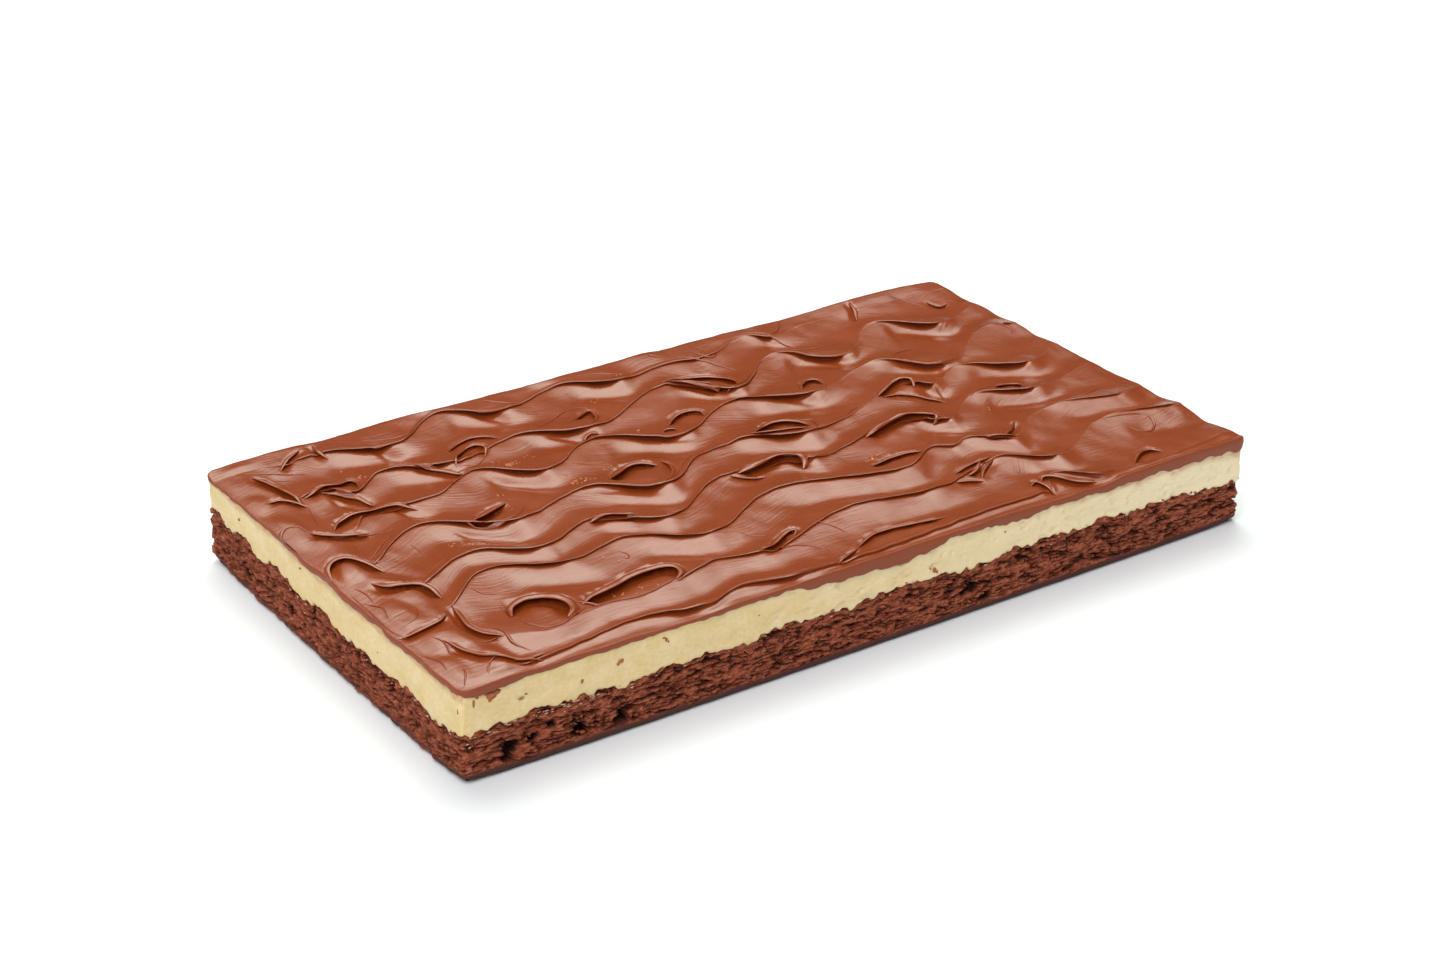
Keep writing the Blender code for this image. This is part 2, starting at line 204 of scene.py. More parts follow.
# Crest lines of the icing's lips, front to back: (x, y) where each one turns.
STROKES = (
    ((-180, -94), (-145, -95.5), (-105, -91), (-77, -96), (-63, -92), (-35, -96), (7, -96), (57, -93.5),
     (83, -93), (92, -83), (109, -95), (145, -96), (180, -93)),
    ((-180, -71), (-152, -77), (-131, -83), (-112, -78.5), (-97, -80), (-80, -77), (-66, -73), (-57, -71),
     (-37, -75), (7, -63), (47, -69), (83, -60), (105, -73), (145, -55), (180, -62)),
    ((-180, -51), (-159, -49), (-131, -31), (-101, -42), (-78, -37), (-47, -52), (-7, -35), (49, -48.5),
     (69, -38), (77, -42), (84, -40), (101, -50), (122, -37), (135, -34), (168, -42), (180, -38)),
    ((-180, -33), (-156.5, -28), (-129.5, -16), (-104.5, -27), (-77.5, -17), (-53, -32), (-14.5, -13),
     (11.5, -13), (23.5, -21), (75, -10), (91, -22), (114, -8), (141, -17.5), (180, -9)),
    ((-180, -12), (-162.5, -4), (-135.5, 14), (-100.5, -3), (-67.5, 7), (-36.5, -8), (-10.5, 8), (7.5, 10),
     (35.5, 0), (65.5, 6), (98, 19.5), (107, 9), (126, 18.5), (156, 4.5), (180, 14)),
    ((-180, 24), (-156, 25), (-144.5, 34), (-117.5, 33), (-94.5, 43), (-69.5, 28), (-40.5, 43), (-7.5, 26),
     (25.5, 42), (61, 30), (99, 42), (127, 24), (166, 46), (180, 42)),
    ((-180, 56), (-150.5, 62), (-140.5, 52), (-124.5, 63), (-96.5, 54), (-64.5, 62), (-34.5, 52),
     (12.5, 71), (37, 51), (69, 72), (96, 55), (125, 76), (151, 59), (180, 68)),
    ((-180, 92), (-138.5, 90), (-107.5, 81), (-80.5, 98), (-54.5, 86), (-25.5, 95), (0.5, 85), (24.5, 89),
     (42.5, 86), (70.5, 94), (80.5, 87), (98, 92), (180, 92)),
)

# For each stroke: the greatest drop in front of its lip.
STROKE_DROPS = (2.0, 0.8, 0.8, 1.0, 1.5, 1.5, 1.5, 1.5)
# How wide the slope up to that drop is; the last is for the strip up to the back edge.
STROKE_SLOPES = (8, 15, 15, 15, 14, 13, 12, 12, 12)
# How much of the slope stays on the left, also where the stroke runs to the back.
STROKE_LEAST = (0.0, 0.75, 0.3, 0.2, 0.0, 0.0, 0.0, 0.0)
# From which x on it has a lip.
STROKE_LIP_FROM = (-180, -68, -180, -180, -180, -144, -180, -138)
# From which x on its drop is calm; those at 200 never are.
STROKE_CALM_FROM = (75, 128, 128, 200, 200, 200, 200, 200)

# Distances of the mesh rows that stay close to a lip: behind it, and in front of it.
ROWS_BEHIND = np.array((0.0, 0.25, 0.6, 1.1))
ROWS_AHEAD = np.array((2.4, 1.75, 1.3, 1.05, 0.9, 0.78, 0.66, 0.56, 0.42, 0.22))
SMOOTH_FROM = 60.0                   # right of here the lips run out where a stroke turns to the back
BASIN = 1.2                          # how far a stroke digs in where it runs to the front
LIP_SPREAD = 1.35                    # how far a curled lip reaches, for one of its height

# Outline of a fold a millimetre high, as (across, up): a low ridge, and a lip that curls over to the front.
RIDGE = ((-1.5, -0.3), (-0.9, 0.1), (-0.55, 0.45), (-0.25, 0.8), (0, 0.97), (0.2, 1.0), (0.42, 0.85),
         (0.6, 0.55), (0.85, 0.2), (1.2, -0.3), (0.4, -0.6), (-0.6, -0.6))
LIP = ((-2.4, -0.35), (-1.8, 0.1), (-1.3, 0.55), (-0.85, 0.9), (-0.4, 1.0), (0.1, 0.93), (0.6, 0.8),
       (0.95, 0.62), (0.95, 0.45), (0.6, 0.3), (0.0, 0.0), (-0.8, -0.5))

# Folds that the knife pulled up: (height, curl, path). The lip curls over to the right of its path, 0 to 1.
FOLDS = (
    (2.5, 1.0, ((-140, -66), (-137, -59.5), (-130, -56.5), (-124, -59), (-120, -64), (-118.5, -69),
                (-120, -74.5), (-125, -79))),
    (0.7, 0.3, ((-142, -64), (-139.5, -69), (-138.5, -76), (-135, -81), (-129, -82.5), (-123, -79),
                (-116, -76.5))),
    (2.4, 1.0, ((-116, -74), (-110, -70), (-101, -67.5), (-91, -64), (-83, -63), (-76, -64), (-72.5, -68),
                (-73.5, -73), (-78, -76.5))),
    (0.7, 0.3, ((-116, -77), (-105, -78), (-97, -79.5), (-89, -79), (-81, -77), (-75, -74))),
    (0.8, 0.5, ((-117, -70), (-114, -74), (-111, -78.5))),
    (2.1, 1.0, ((-8.5, -15), (-2.5, -14), (4.5, -13), (10.5, -11.5), (15.5, -13), (19, -17), (19.5, -21),
                (15.5, -25))),
    (0.8, 0.6, ((-12.5, -14.5), (-9.5, -18), (-4.5, -22), (-0.5, -23))),
    (1.3, 1.0, ((-40, -75), (-33, -73), (-27, -69), (-21, -66), (-17.5, -67), (-22, -70.5))),
    (0.7, 0.2, ((-33, -75.5), (-25, -76.5), (-19.5, -80), (-16.5, -85), (-15, -90))),
    (0.8, 0.8, ((-21, -97), (-14, -94), (-8, -91.5))),
    (1.0, 0.9, ((-8, -91), (-1, -87), (5, -84.5), (13, -84.5), (23, -86.5), (36, -89.5))),
    (0.7, 0.8, ((91, -45), (97, -47), (103, -51))),
    (1.0, 1.0, ((97.5, -48.5), (103, -45), (108, -41), (112.5, -37.5))),
    (1.1, 1.0, ((38, -39), (49, -36.5), (57, -37), (63, -40))),
    (1.2, 1.0, ((-79, -19), (-73, -18), (-67, -21), (-62, -25))),
    (0.9, 0.8, ((61, -62.5), (67, -60.5), (74, -59), (82, -59))),
    (1.0, 0.9, ((65, -66.5), (70, -65), (74, -62), (76, -59.5))),
    (0.9, 0.6, ((68, -71), (72, -66.5), (77, -63.5), (82, -61))),
    (0.8, 0.8, ((57, -68.5), (63, -70), (67, -73))),
    (0.9, 0.3, ((147, -63), (149, -70), (153.5, -73.5), (159, -70.5), (161.5, -65), (159, -61),
                (152, -58.5), (142, -56))),
    (1.0, 1.0, ((126, -94), (132, -89), (137, -86.5), (141.5, -88), (142, -92))),
    (1.1, 0.7, ((79, -87), (84, -83.5), (84, -89), (83, -97))),
    (1.2, 0.9, ((85, -86), (88.5, -82), (92, -86), (97, -92), (104, -97))),
    (1.5, 1.0, ((-169.5, -17), (-166.5, -23), (-160.5, -25), (-155.5, -26), (-153, -32), (-153.5, -40))),
    (1.3, 0.8, ((-153.5, -47), (-154.5, -55), (-156, -63), (-154.5, -71), (-150, -78))),
    (1.0, 0.8, ((-180, -56.5), (-170, -57), (-163, -56), (-158, -52))),
    (1.1, 0.6, ((-169, -69), (-166.5, -78), (-163, -86), (-157, -90.5), (-151, -95), (-143, -93.5))),
    (0.8, 0.4, ((-150.5, -69), (-148.5, -76), (-150, -83), (-146, -89))),
    (0.6, 0.2, ((-179, -20), (-179, -37), (-179.5, -49), (-177, -58))),
    (1.3, 1.0, ((-161.5, 28), (-157.5, 33.5), (-150.5, 37), (-143.5, 36), (-136.5, 35.5), (-130.5, 33),
                (-126.5, 27))),
    (1.3, 0.9, ((-170, 30.5), (-166, 26), (-161, 22.5), (-155, 20.5), (-151, 20))),
    (0.5, 0.3, ((-156, 20), (-149, 18), (-142, 18))),
    (1.9, 1.0, ((-115.5, 4), (-108.5, 8), (-102.5, 11), (-96.5, 13))),
    (0.4, 0.2, ((-160, 52.5), (-162, 45), (-163.5, 39), (-165, 33.5))),
    (0.6, 0.5, ((-169, 91), (-162, 86.5), (-154, 81.5), (-146, 77.5))),
    (0.5, 0.3, ((-166, 84), (-160, 79.5), (-153, 75.5))),
    (0.5, 0.4, ((-160, 91), (-154, 88.5), (-148, 88))),
    (0.7, 0.3, ((-118.5, 5), (-114.5, 0), (-108.5, -2.5), (-102.5, -2.5), (-96.5, 1), (-92.5, 6))),
    (1.4, 1.0, ((-179.5, -6), (-177.5, 2), (-173.5, 6), (-168, 5.5), (-165, 1), (-163, -4), (-161, -11))),
    (0.8, 0.4, ((-162.5, -2), (-156.5, 4), (-150.5, 9.5), (-144.5, 13))),
    (1.9, 1.0, ((-54.5, 6), (-47.5, 11), (-41.5, 14.5), (-36.5, 15), (-32.5, 13), (-30.5, 8.5))),
    (1.0, 0.7, ((-27, 12.5), (-26, 6.5), (-28.5, 0.5), (-32.5, -4), (-38, -7.5))),
    (0.6, 0.2, ((-14.5, 9), (-21.5, 4), (-27.5, -1.5), (-33.5, -6))),
    (1.8, 1.0, ((17.5, 10.5), (22.5, 14.5), (29.5, 17), (35.5, 15.5), (39.5, 10.5), (40, 5))),
    (0.9, 0.8, ((14.5, 9.5), (23.5, 7.5), (31.5, 5.5), (37.5, 2.5))),
    (0.9, 0.5, ((40, 13), (45.5, 10.5), (44.5, 5.5), (41.5, 0.5))),
    (1.2, 0.9, ((-6.5, 37), (-1.5, 42), (3.5, 44.5), (8.5, 44.5), (12, 42), (10.5, 36))),
    (0.7, 0.8, ((-13.5, 30), (-12.5, 33), (-9, 33), (-6.5, 31), (-8.5, 28.5))),
    (1.9, 1.0, ((52.5, -16.5), (61.5, -12.5), (71.5, -9.5), (80.5, -10), (86.5, -14), (88, -18.5),
                (83.5, -21))),
    (0.6, 0.3, ((52.5, 2.5), (59.5, 5.5), (67.5, 9))),
    (1.4, 1.0, ((80.5, 12.5), (87.5, 16.5), (93.5, 20), (99, 21), (102, 17), (99.5, 12))),
    (0.9, 0.6, ((82.5, 11), (89.5, 10), (95.5, 5), (100.5, -2), (101.5, -7))),
    (0.7, 0.3, ((107.5, 10), (106, 4), (104.5, -3))),
    (1.1, 1.0, ((58.5, 35), (61.5, 40), (66.5, 43), (71, 41.5), (69.5, 35.5))),
    (0.7, 0.4, ((112.5, 43.5), (118.5, 46), (124.5, 45))),
    (1.0, 1.0, ((126, -8), (131, -7.5), (136, -10), (137, -14), (134, -16))),
    (0.6, 0.2, ((112, -9), (119, -6.5), (127, -6))),
    (0.8, 0.3, ((155.5, 43), (164.5, 47), (171.5, 45.5), (174, 39), (169.5, 33))),
    (0.9, 0.5, ((-180.5, 21), (-180.5, 34), (-177, 39.5), (-171.5, 38), (-169.5, 31))),
    (1.2, 0.9, ((-158.5, 58.5), (-150.5, 62), (-142.5, 61), (-137, 64), (-135, 60), (-137.5, 54))),
    (1.0, 0.9, ((-151.5, 59), (-145.5, 54.5), (-140.5, 47), (-138, 40))),
    (1.0, 0.9, ((-111.5, 59), (-104.5, 53), (-99.5, 47), (-96.5, 43))),
    (1.0, 0.9, ((-97, 50), (-93, 57.5), (-85.5, 63.5), (-80.5, 64.5), (-78, 60), (-82.5, 53))),
    (0.6, 0.2, ((-99.5, 47), (-94.5, 48), (-88.5, 48), (-82.5, 53))),
    (0.9, 0.7, ((-93.5, 64), (-85.5, 70), (-78.5, 72), (-72.5, 69), (-70, 63))),
    (0.9, 0.4, ((-117.5, 90), (-111.5, 85.5), (-105.5, 83.5), (-99.5, 85), (-93.5, 90.5), (-87.5, 96.5),
                (-80.5, 99))),
    (0.7, 0.3, ((-116.5, 92), (-108.5, 89), (-100.5, 90.5))),
    (0.7, 0.4, ((-52.5, 62.5), (-42.5, 68), (-34.5, 72.5), (-27.5, 74), (-23.5, 71.5))),
    (1.0, 1.0, ((-36, 62), (-30, 66), (-24.5, 69), (-24.5, 63), (-29, 57))),
    (0.6, 0.2, ((-42.5, 58), (-34.5, 62.5), (-24.5, 69))),
    (0.8, 0.2, ((-24.5, 68), (-26.5, 60), (-30.5, 55), (-35.5, 53))),
    (0.7, 0.7, ((-42.5, 43), (-40, 48), (-35.5, 49), (-33.5, 46))),
    (1.5, 0.9, ((13.5, 72.5), (21.5, 74), (29.5, 72.5), (36, 69.5), (40, 63), (40.5, 57), (37.5, 52))),
    (1.1, 0.9, ((15.5, 72), (20.5, 66), (25.5, 59), (29.5, 53.5))),
    (0.9, 0.8, ((21.5, 72), (26.5, 65.5), (30.5, 59.5))),
    (0.7, 0.2, ((31.5, 51), (38.5, 52.5), (45.5, 56.5), (52.5, 62))),
    (0.8, 0.3, ((66.5, 97), (73.5, 95), (78.5, 90), (81, 82), (84, 73))),
    (0.8, 0.5, ((80.5, 89), (86.5, 92), (92.5, 99))),
    (0.8, 0.3, ((73, 72), (82, 69.5), (92, 68), (101, 68))),
    (0.9, 0.9, ((130.5, 100), (128.5, 92), (123.5, 83.5))),
    (0.8, 0.2, ((149.5, 100), (153.5, 91), (159, 80))),
    (0.8, 0.7, ((162.5, 84), (164, 76), (169.5, 77.5))),
    (0.9, 0.8, ((-155.5, 85), (-149.5, 91.5), (-141.5, 96.5))),
    (0.9, 0.8, ((-135.5, 98), (-137, 91), (-135.5, 84))),
    (1.4, 0.9, ((-167.5, 86), (-164.5, 80), (-162, 72), (-160.5, 62), (-161.5, 54))),
    (0.9, 0.9, ((-172.5, 62), (-166.5, 62), (-162.5, 57), (-160.5, 52))),
    (0.7, 0.3, ((-14, 97), (-6, 94), (1, 89.5), (6, 88))),
    (0.9, 0.4, ((24, 103), (23, 98), (28, 94))),
    (0.8, 0.3, ((29, 92), (37, 88.5), (42, 82), (46, 74.5), (49, 68))),
    (0.8, 0.4, ((41, 95), (43, 86.5), (47, 83), (51.5, 87))),
    (0.7, 0.4, ((45, 97), (47, 92), (44, 88))),
    (0.8, 0.6, ((-46, 102), (-40, 100), (-36, 101))),
    (0.8, 0.4, ((-60, 100), (-56, 94), (-51, 89.5), (-46, 88))),
    (0.5, 0.3, ((-177, -97.5), (-173, -92), (-172, -88))),
    (0.5, 0.3, ((-167, -97), (-165, -92), (-160, -89))),
    (0.6, 0.5, ((-155, -93), (-150, -95), (-146, -97.5))),
    (0.5, 0.3, ((-178, -72), (-176, -79), (-177, -86))),
    (0.5, 0.2, ((-171, -64), (-169, -70), (-171, -78))),
    (0.5, 0.3, ((-161, -77), (-156, -78), (-152, -77))),
    (0.5, 0.3, ((-176, -16), (-174, -22), (-175, -29))),
    (0.5, 0.2, ((-178, -27), (-174, -34), (-176, -42))),
    (0.5, 0.3, ((-165, -42), (-168, -49), (-173, -51))),
    (0.5, 0.2, ((-142, -40), (-140, -46), (-136, -48))),
    (0.4, 0.2, ((-84, -48), (-82, -52), (-80, -48), (-83, -44))),
    (0.4, 0.2, ((-37, -56), (-34, -61), (-29, -64))),
    (0.5, 0.2, ((-8, -66), (-4, -72), (-3, -79))),
    (0.4, 0.2, ((20, -22), (27, -20.5), (34, -20))),
    (0.5, 0.2, ((30, -20), (34, -26), (33, -34))),
    (0.4, 0.2, ((113, -22), (116, -18), (118, -15))),
    (0.4, 0.3, ((152, -35), (157, -33), (163, -31))),
    (0.5, 0.3, ((-164, 2), (-162, 8), (-161, 14))),
    (0.4, 0.2, ((-153, -8), (-158, -4), (-163, -1))),
    (0.4, 0.2, ((-143, 3), (-142, -2), (-143, -6))),
)

# Clusters of small nubs that stick to the icing: (x, y, half spread, count).
NUBS = ((-77, 41, 3.5, 22), (-62, 13, 4.5, 26), (-65, 20, 3, 8), (-68, 44, 3, 4), (-81, 47, 3, 4),
        (-48, 17.5, 2, 5), (-94, 21, 2, 3), (-82, -3, 3, 4), (-121, -10, 4, 16), (-128, -5, 3, 5),
        (-101, 12, 3, 3), (-130, 63.5, 3, 5), (-135, 74, 2, 2), (42, -32, 3.5, 12), (48, -30, 4, 9),
        (-19, 40.5, 1.5, 4), (3, 89.5, 4, 5), (-18, 76, 3, 4), (114, -21, 2, 3), (-94, -72, 9, 10),
        (-86, -47, 6, 5), (-149, -60, 4, 4))

# Flat dabs of the knife where the strokes start: (x, y, half length, half width, height).
DABS = ((-176, 37, 8, 15, 1.2), (-173, -3, 8, 10, 1.2), (-176, 64, 7, 9, 0.7), (-172, -44, 7, 14, 0.9),
        (-168, -68, 9, 9, 0.8), (-176, -86, 6, 14, 0.6), (-158, -88, 6, 8, 0.7))

# Furrows that open in front of a lip: (x and y of both ends, width, depth). Their far side rises slowly.
FURROWS = ((-127, 7, -110, -15, 3.2, 1.4), (-152, 54, -142, 40, 2.4, 1.0), (-135, 32, -126, 18, 2.4, 1.2),
           (-118, 86, -111, 70, 2.8, 1.2), (-96, 38, -79, 21, 2.4, 0.9), (-69, 92, -57, 80, 3.0, 1.1),
           (76, 68, 93, 53, 3.4, 1.4), (-55, 57, -41, 46, 2.4, 0.9), (-66, 4, -44, -9, 2.6, 0.9),
           (-18, 29, -7, 22, 2.4, 0.8), (46, 33, 57, 25, 2.4, 0.8), (104, 38, 119, 26, 2.6, 1.0))

# Holes torn in the cut crumb: (place along the side, height, radius, depth), front and left side.
HOLES_FRONT = ((-161, 9.0, 2.6, 5.0), (-162.5, 5.5, 2.0, 4.0), (-133.5, 7.0, 2.9, 6.0),
               (-116.5, 6.0, 3.1, 6.0), (-152, 10.0, 2.1, 4.0), (-145, 13.0, 1.5, 2.8),
               (41, 11.0, 2.4, 2.6), (37, 9.6, 1.6, 1.8), (-81, 18.0, 1.5, 2.4), (96, 8.0, 1.5, 1.6))
HOLES_LEFT = ((-25, 7.5, 1.6, 2.4), (-9, 11.0, 1.4, 1.8), (30, 9.0, 1.8, 2.0), (68, 8.0, 2.0, 1.8),
              (-23, 15.2, 1.7, 1.8), (-50, 15.0, 1.9, 2.0), (12, 16.5, 1.5, 1.8), (50, 13.0, 1.4, 1.5))

# Clumps at the torn back-left corner, and two that lie at the foot of the left side: (place, half sizes).
CLUMPS = (((-178.6, 98.6, 4.5), (2.4, 2.0, 3.4)), ((-178.6, 98.8, 11.5), (1.8, 1.6, 2.4)),
          ((-178.2, 98.6, 17.5), (2.6, 1.9, 3.0)), ((-178.4, 98.4, 22.2), (2.2, 2.2, 1.4)),
          ((-180.2, -24.0, 1.5), (1.4, 2.4, 0.8)), ((-180.0, 57.0, 2.0), (1.6, 3.4, 1.2)))

# Crumbs smeared into the cut cream: (place along the side, height, half width, half height), front, left.
SPECKS_FRONT = ((-168, 32.0, 2.2, 1.7), (-165.8, 32.6, 1.5, 1.0), (-170.2, 33.2, 0.9, 0.8),
                (-168.6, 30.4, 0.9, 0.9), (-175, 31.0, 0.6, 1.8), (-173.6, 33.2, 0.7, 0.8),
                (-156.6, 27.0, 1.3, 0.45), (-154.6, 28.2, 0.7, 0.35), (-132.3, 25.8, 0.6, 1.0),
                (-116.4, 28.8, 1.3, 0.9), (-117.6, 28.0, 0.6, 0.7), (-97.6, 31.4, 0.7, 1.0),
                (-98.6, 32.4, 0.8, 0.4), (-96.8, 30.4, 0.4, 0.5), (22.0, 23.9, 1.0, 1.1),
                (20.2, 24.8, 0.4, 0.4), (23.4, 22.7, 0.6, 0.7), (56.0, 30.2, 0.4, 0.4),
                (-58.0, 29.0, 0.35, 0.3))
SPECKS_LEFT = ((-97.5, 28.4, 0.5, 1.2), (72, 29.2, 0.9, 0.7), (-40, 24.0, 0.35, 0.3), (20, 31.0, 0.8, 0.3))


# ---- Settings ----

def linear(code, alpha=1.0):
    """Turn an sRGB hex colour into linear values."""
    parts = [int(code[i:i + 2], 16) / 255 for i in (1, 3, 5)]
    return tuple(c / 12.92 if c <= 0.04045 else ((c + 0.055) / 1.055) ** 2.4 for c in parts) + (alpha,)


def length_prop(name, description, default):
    """Return a setting for a length, given in millimetres."""
    return FloatProperty(name=name, description=description, default=default * MM, min=0.0,
                         subtype="DISTANCE", unit="LENGTH", precision=5)


def colour_prop(name, description, code):
    """Return a setting for a colour, given as sRGB hex."""
    return FloatVectorProperty(name=name, description=description, default=linear(code), size=4,
                               min=0.0, max=1.0, subtype="COLOR")


def count_prop(name, description, default, least=0):
    """Return a setting for a whole number."""
    return IntProperty(name=name, description=description, default=default, min=least)


class IcingSettings(bpy.types.PropertyGroup):
    """Sizes and colours of the milk-chocolate icing."""
    lip_high: length_prop("High lip", "Lip height where a stroke runs to the front", 0.5)
    lip_low: length_prop("Low lip", "Lip height where a stroke runs to the back", 0.32)
    drop_low: length_prop("Low drop", "Least drop in front of a lip", 0.2)
    swell_high: length_prop("High swell", "Height of the swell under a high lip", 2.8)
    swell_low: length_prop("Low swell", "Height of the swell under a low lip", 1.4)
    lean: length_prop("Lean", "How far a lip a millimetre high leans over to the front", 0.5)
    column: length_prop("Column", "Spacing of the mesh columns", 1.15)
    fold_step: length_prop("Fold step", "Spacing of the mesh rings along a fold", 0.5)
    rows: count_prop("Rows", "Mesh rows in the middle of each stroke", 15, 4)
    brown: colour_prop("Brown", "Milk chocolate", "#8B3C16")
    deep: colour_prop("Deep brown", "Darker patches of milk chocolate", "#7C3412")
    nub: colour_prop("Nub", "Nubs on the icing", "#94481F")
    # Painted highlight: the pale peach that the nubs are mottled with stands in for glints on them.
    nub_painted_highlight: colour_prop("Pale nub", "Nubs where they are thin", "#D89A6E")


class CreamSettings(bpy.types.PropertyGroup):
    """Sizes and colours of the cream filling."""
    ripple: length_prop("Ripple", "How far the cut side waves", 0.28)
    mesh_step: length_prop("Mesh step", "Spacing of the mesh points", 0.9)
    pale: colour_prop("Pale", "Cream", "#E2CC9F")
    yolk: colour_prop("Yolk", "Warmer patches in the cream", "#D7B774")
    smear: colour_prop("Smear", "Cream that the knife smeared with chocolate, under the icing", "#B47B52")
    light: colour_prop("Light cream", "Cream toward the right end", "#EEDCB8")
    speck: colour_prop("Speck", "Crumb smeared into the cream", "#7A3414")
    speck_pale: colour_prop("Pale speck", "Smeared crumb where it is thin", "#BC7234")
    bit: colour_prop("Bit", "Cream dragged down over the crumb", "#B98E72")
    bit_pale: colour_prop("Pale bit", "Dragged cream where it is clean", "#DCBFA0")
    bit_count: count_prop("Bits", "Bits of cream on the crumb", 80)


class CakeSettings(bpy.types.PropertyGroup):
    """Sizes and colours of the chocolate cake."""
    crevice: length_prop("Crevice", "Depth of the gaps between flakes", 2.3)
    crag: length_prop("Crag", "Height of the broad crags", 0.7)
    mesh_step: length_prop("Mesh step", "Spacing of the mesh points", 0.85)
    mesh_rows: count_prop("Mesh rows", "Mesh rows up the cut side", 56, 8)
    crumb_count: count_prop("Crumbs", "Loose crumbs on the cut sides", 420)
    light: colour_prop("Light crumb", "Crumb where it stands out", "#B4684D")
    dark: colour_prop("Dark crumb", "Crumb in the gaps", "#7C3119")
    # Painted shade: this near black is mixed in where the crumb is gapped, pored or holed.
    deep: colour_prop("Gap", "Crumb deep in the gaps and holes", "#260B04")
    crust: colour_prop("Baked edge", "Smooth edge that lay on the tray", "#50302A")


class StageSettings(bpy.types.PropertyGroup):
    """Floor and light."""
    floor: colour_prop("Floor", "Pale floor", "#E4E6E9")
    room: FloatProperty(name="Room light", description="Strength of the even light", default=0.35, min=0.0)
    lamp: colour_prop("Lamp", "White of the softboxes at the back", "#F8FFF3")
    front_lamp: colour_prop("Front lamp", "White of the softbox in front", "#FFFFFF")


# ---- Curves, noise and meshes ----

def curve_through(points):
    """Return a function of an array that passes through the points and turns only where they do."""
    xs, ys = np.array(points, float).T
    widths = np.diff(xs)
    rises = np.diff(ys) / widths
    slopes = np.zeros(len(xs))
    before, after = rises[:-1], rises[1:]
    same = before * after > 0
    slopes[1:-1][same] = 2 * before[same] * after[same] / (before[same] + after[same])

    def value(x):
        x = np.clip(x, xs[0], xs[-1])
        i = np.clip(np.searchsorted(xs, x, side="right") - 1, 0, len(widths) - 1)
        t = (x - xs[i]) / widths[i]
        rise = 3 * t ** 2 - 2 * t ** 3
        pull = slopes[i] * t * (1 - t) ** 2 + slopes[i + 1] * t ** 2 * (t - 1)
        return ys[i] * (1 - rise) + ys[i + 1] * rise + widths[i] * pull

    return value


def grain(x, y, z, length, height=None, layer=0):
    """Return smooth, repeatable noise of about -1 to 1 at arrays of points; layer picks another pattern."""
    height = length if height is None else height
    x, y, z = np.broadcast_arrays(x, y, z)
    spots = np.stack([x / length, y / length, z / height + 31.7 * layer], -1).reshape(-1, 3).tolist()
    return 1.6 * np.array([noise.noise(spot) for spot in spots]).reshape(x.shape)


def step_between(low, high, value):
    """Return 0 below low, 1 above high and a smooth step between."""
    t = np.clip((value - low) / (high - low), 0, 1)
    return t * t * (3 - 2 * t)


def side_height(profiles, x, y):
    """Read heights off the profile of the side that each point lies on."""
    front, left, back, right = profiles
    on_long_side = HALF_Y - np.abs(y) <= HALF_X - np.abs(x)
    long_side = np.where(y < 0, front(x), back(x))
    short_side = np.where(x < 0, left(y), right(y))
    return np.where(on_long_side, long_side, short_side)


CAKE_PROFILES = [curve_through(profile) for profile in CAKE_EDGE]
ICING_PROFILES = [curve_through(profile) for profile in ICING_EDGE]
CRESTS = [curve_through(stroke) for stroke in STROKES]
BACK_RIM = curve_through(BACK_EDGE_RISE)
FRONT_RIM = curve_through(FRONT_EDGE_RISE)


def make_piece(name, points, faces, material, slot=None, replaced=None, attributes=None):
    """Make a smooth-shaded mesh piece from millimetre points, kept inside the solids' length and width."""
    mesh = bpy.data.meshes.new(name)
    spots = np.asarray(points) * MM
    low, high = np.array(CAD_BOX) + ((BOX_MARGIN,), (-BOX_MARGIN,))
    spots[:, :2] = np.clip(spots[:, :2], low[:2], high[:2])
    mesh.from_pydata(spots.tolist(), [], faces)
    mesh.update()
    for label, values in (attributes or {}).items():
        layer = mesh.attributes.new(label, "FLOAT", "POINT")
        layer.data.foreach_set("value", np.asarray(values, np.float32))
    mesh.materials.append(material)
    mesh.shade_smooth()
    piece = bpy.data.objects.new(name, mesh)
    bpy.context.scene.collection.objects.link(piece)
    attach(piece, "root")
    if replaced:
        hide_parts(replaced)
    return piece


def ring_faces(lower, upper):
    """Join two closed rows of point numbers with four-sided faces."""
    lower = np.asarray(lower)
    upper = np.asarray(upper)
    return np.stack([lower, np.roll(lower, -1), np.roll(upper, -1), upper], -1).tolist()


def outline(step, corner):
    """Return x, y and the outward normal of points round the slab, with rounded corners, anticlockwise."""
    places = []
    starts = ((-HALF_X, -HALF_Y), (HALF_X, -HALF_Y), (HALF_X, HALF_Y), (-HALF_X, HALF_Y))
    for turn, start in enumerate(starts):
        side = LENGTH if turn % 2 == 0 else WIDTH
        angle = turn * math.pi / 2
        along = (math.cos(angle), math.sin(angle))
        out = (math.sin(angle), -math.cos(angle))
        hub = (start[0] + corner * (along[0] - out[0]), start[1] + corner * (along[1] - out[1]))
        arc_steps = max(2, round(corner * math.pi / 2 / step))
        for k in range(arc_steps):
            bearing = angle - math.pi + math.pi / 2 * k / arc_steps
            normal = (math.cos(bearing), math.sin(bearing))
            places.append((hub[0] + corner * normal[0], hub[1] + corner * normal[1], *normal))
        count = round((side - 2 * corner) / step)
        for k in range(count):
            distance = corner + (side - 2 * corner) * k / count
            places.append((start[0] + along[0] * distance, start[1] + along[1] * distance, *out))
    return np.array(places).T


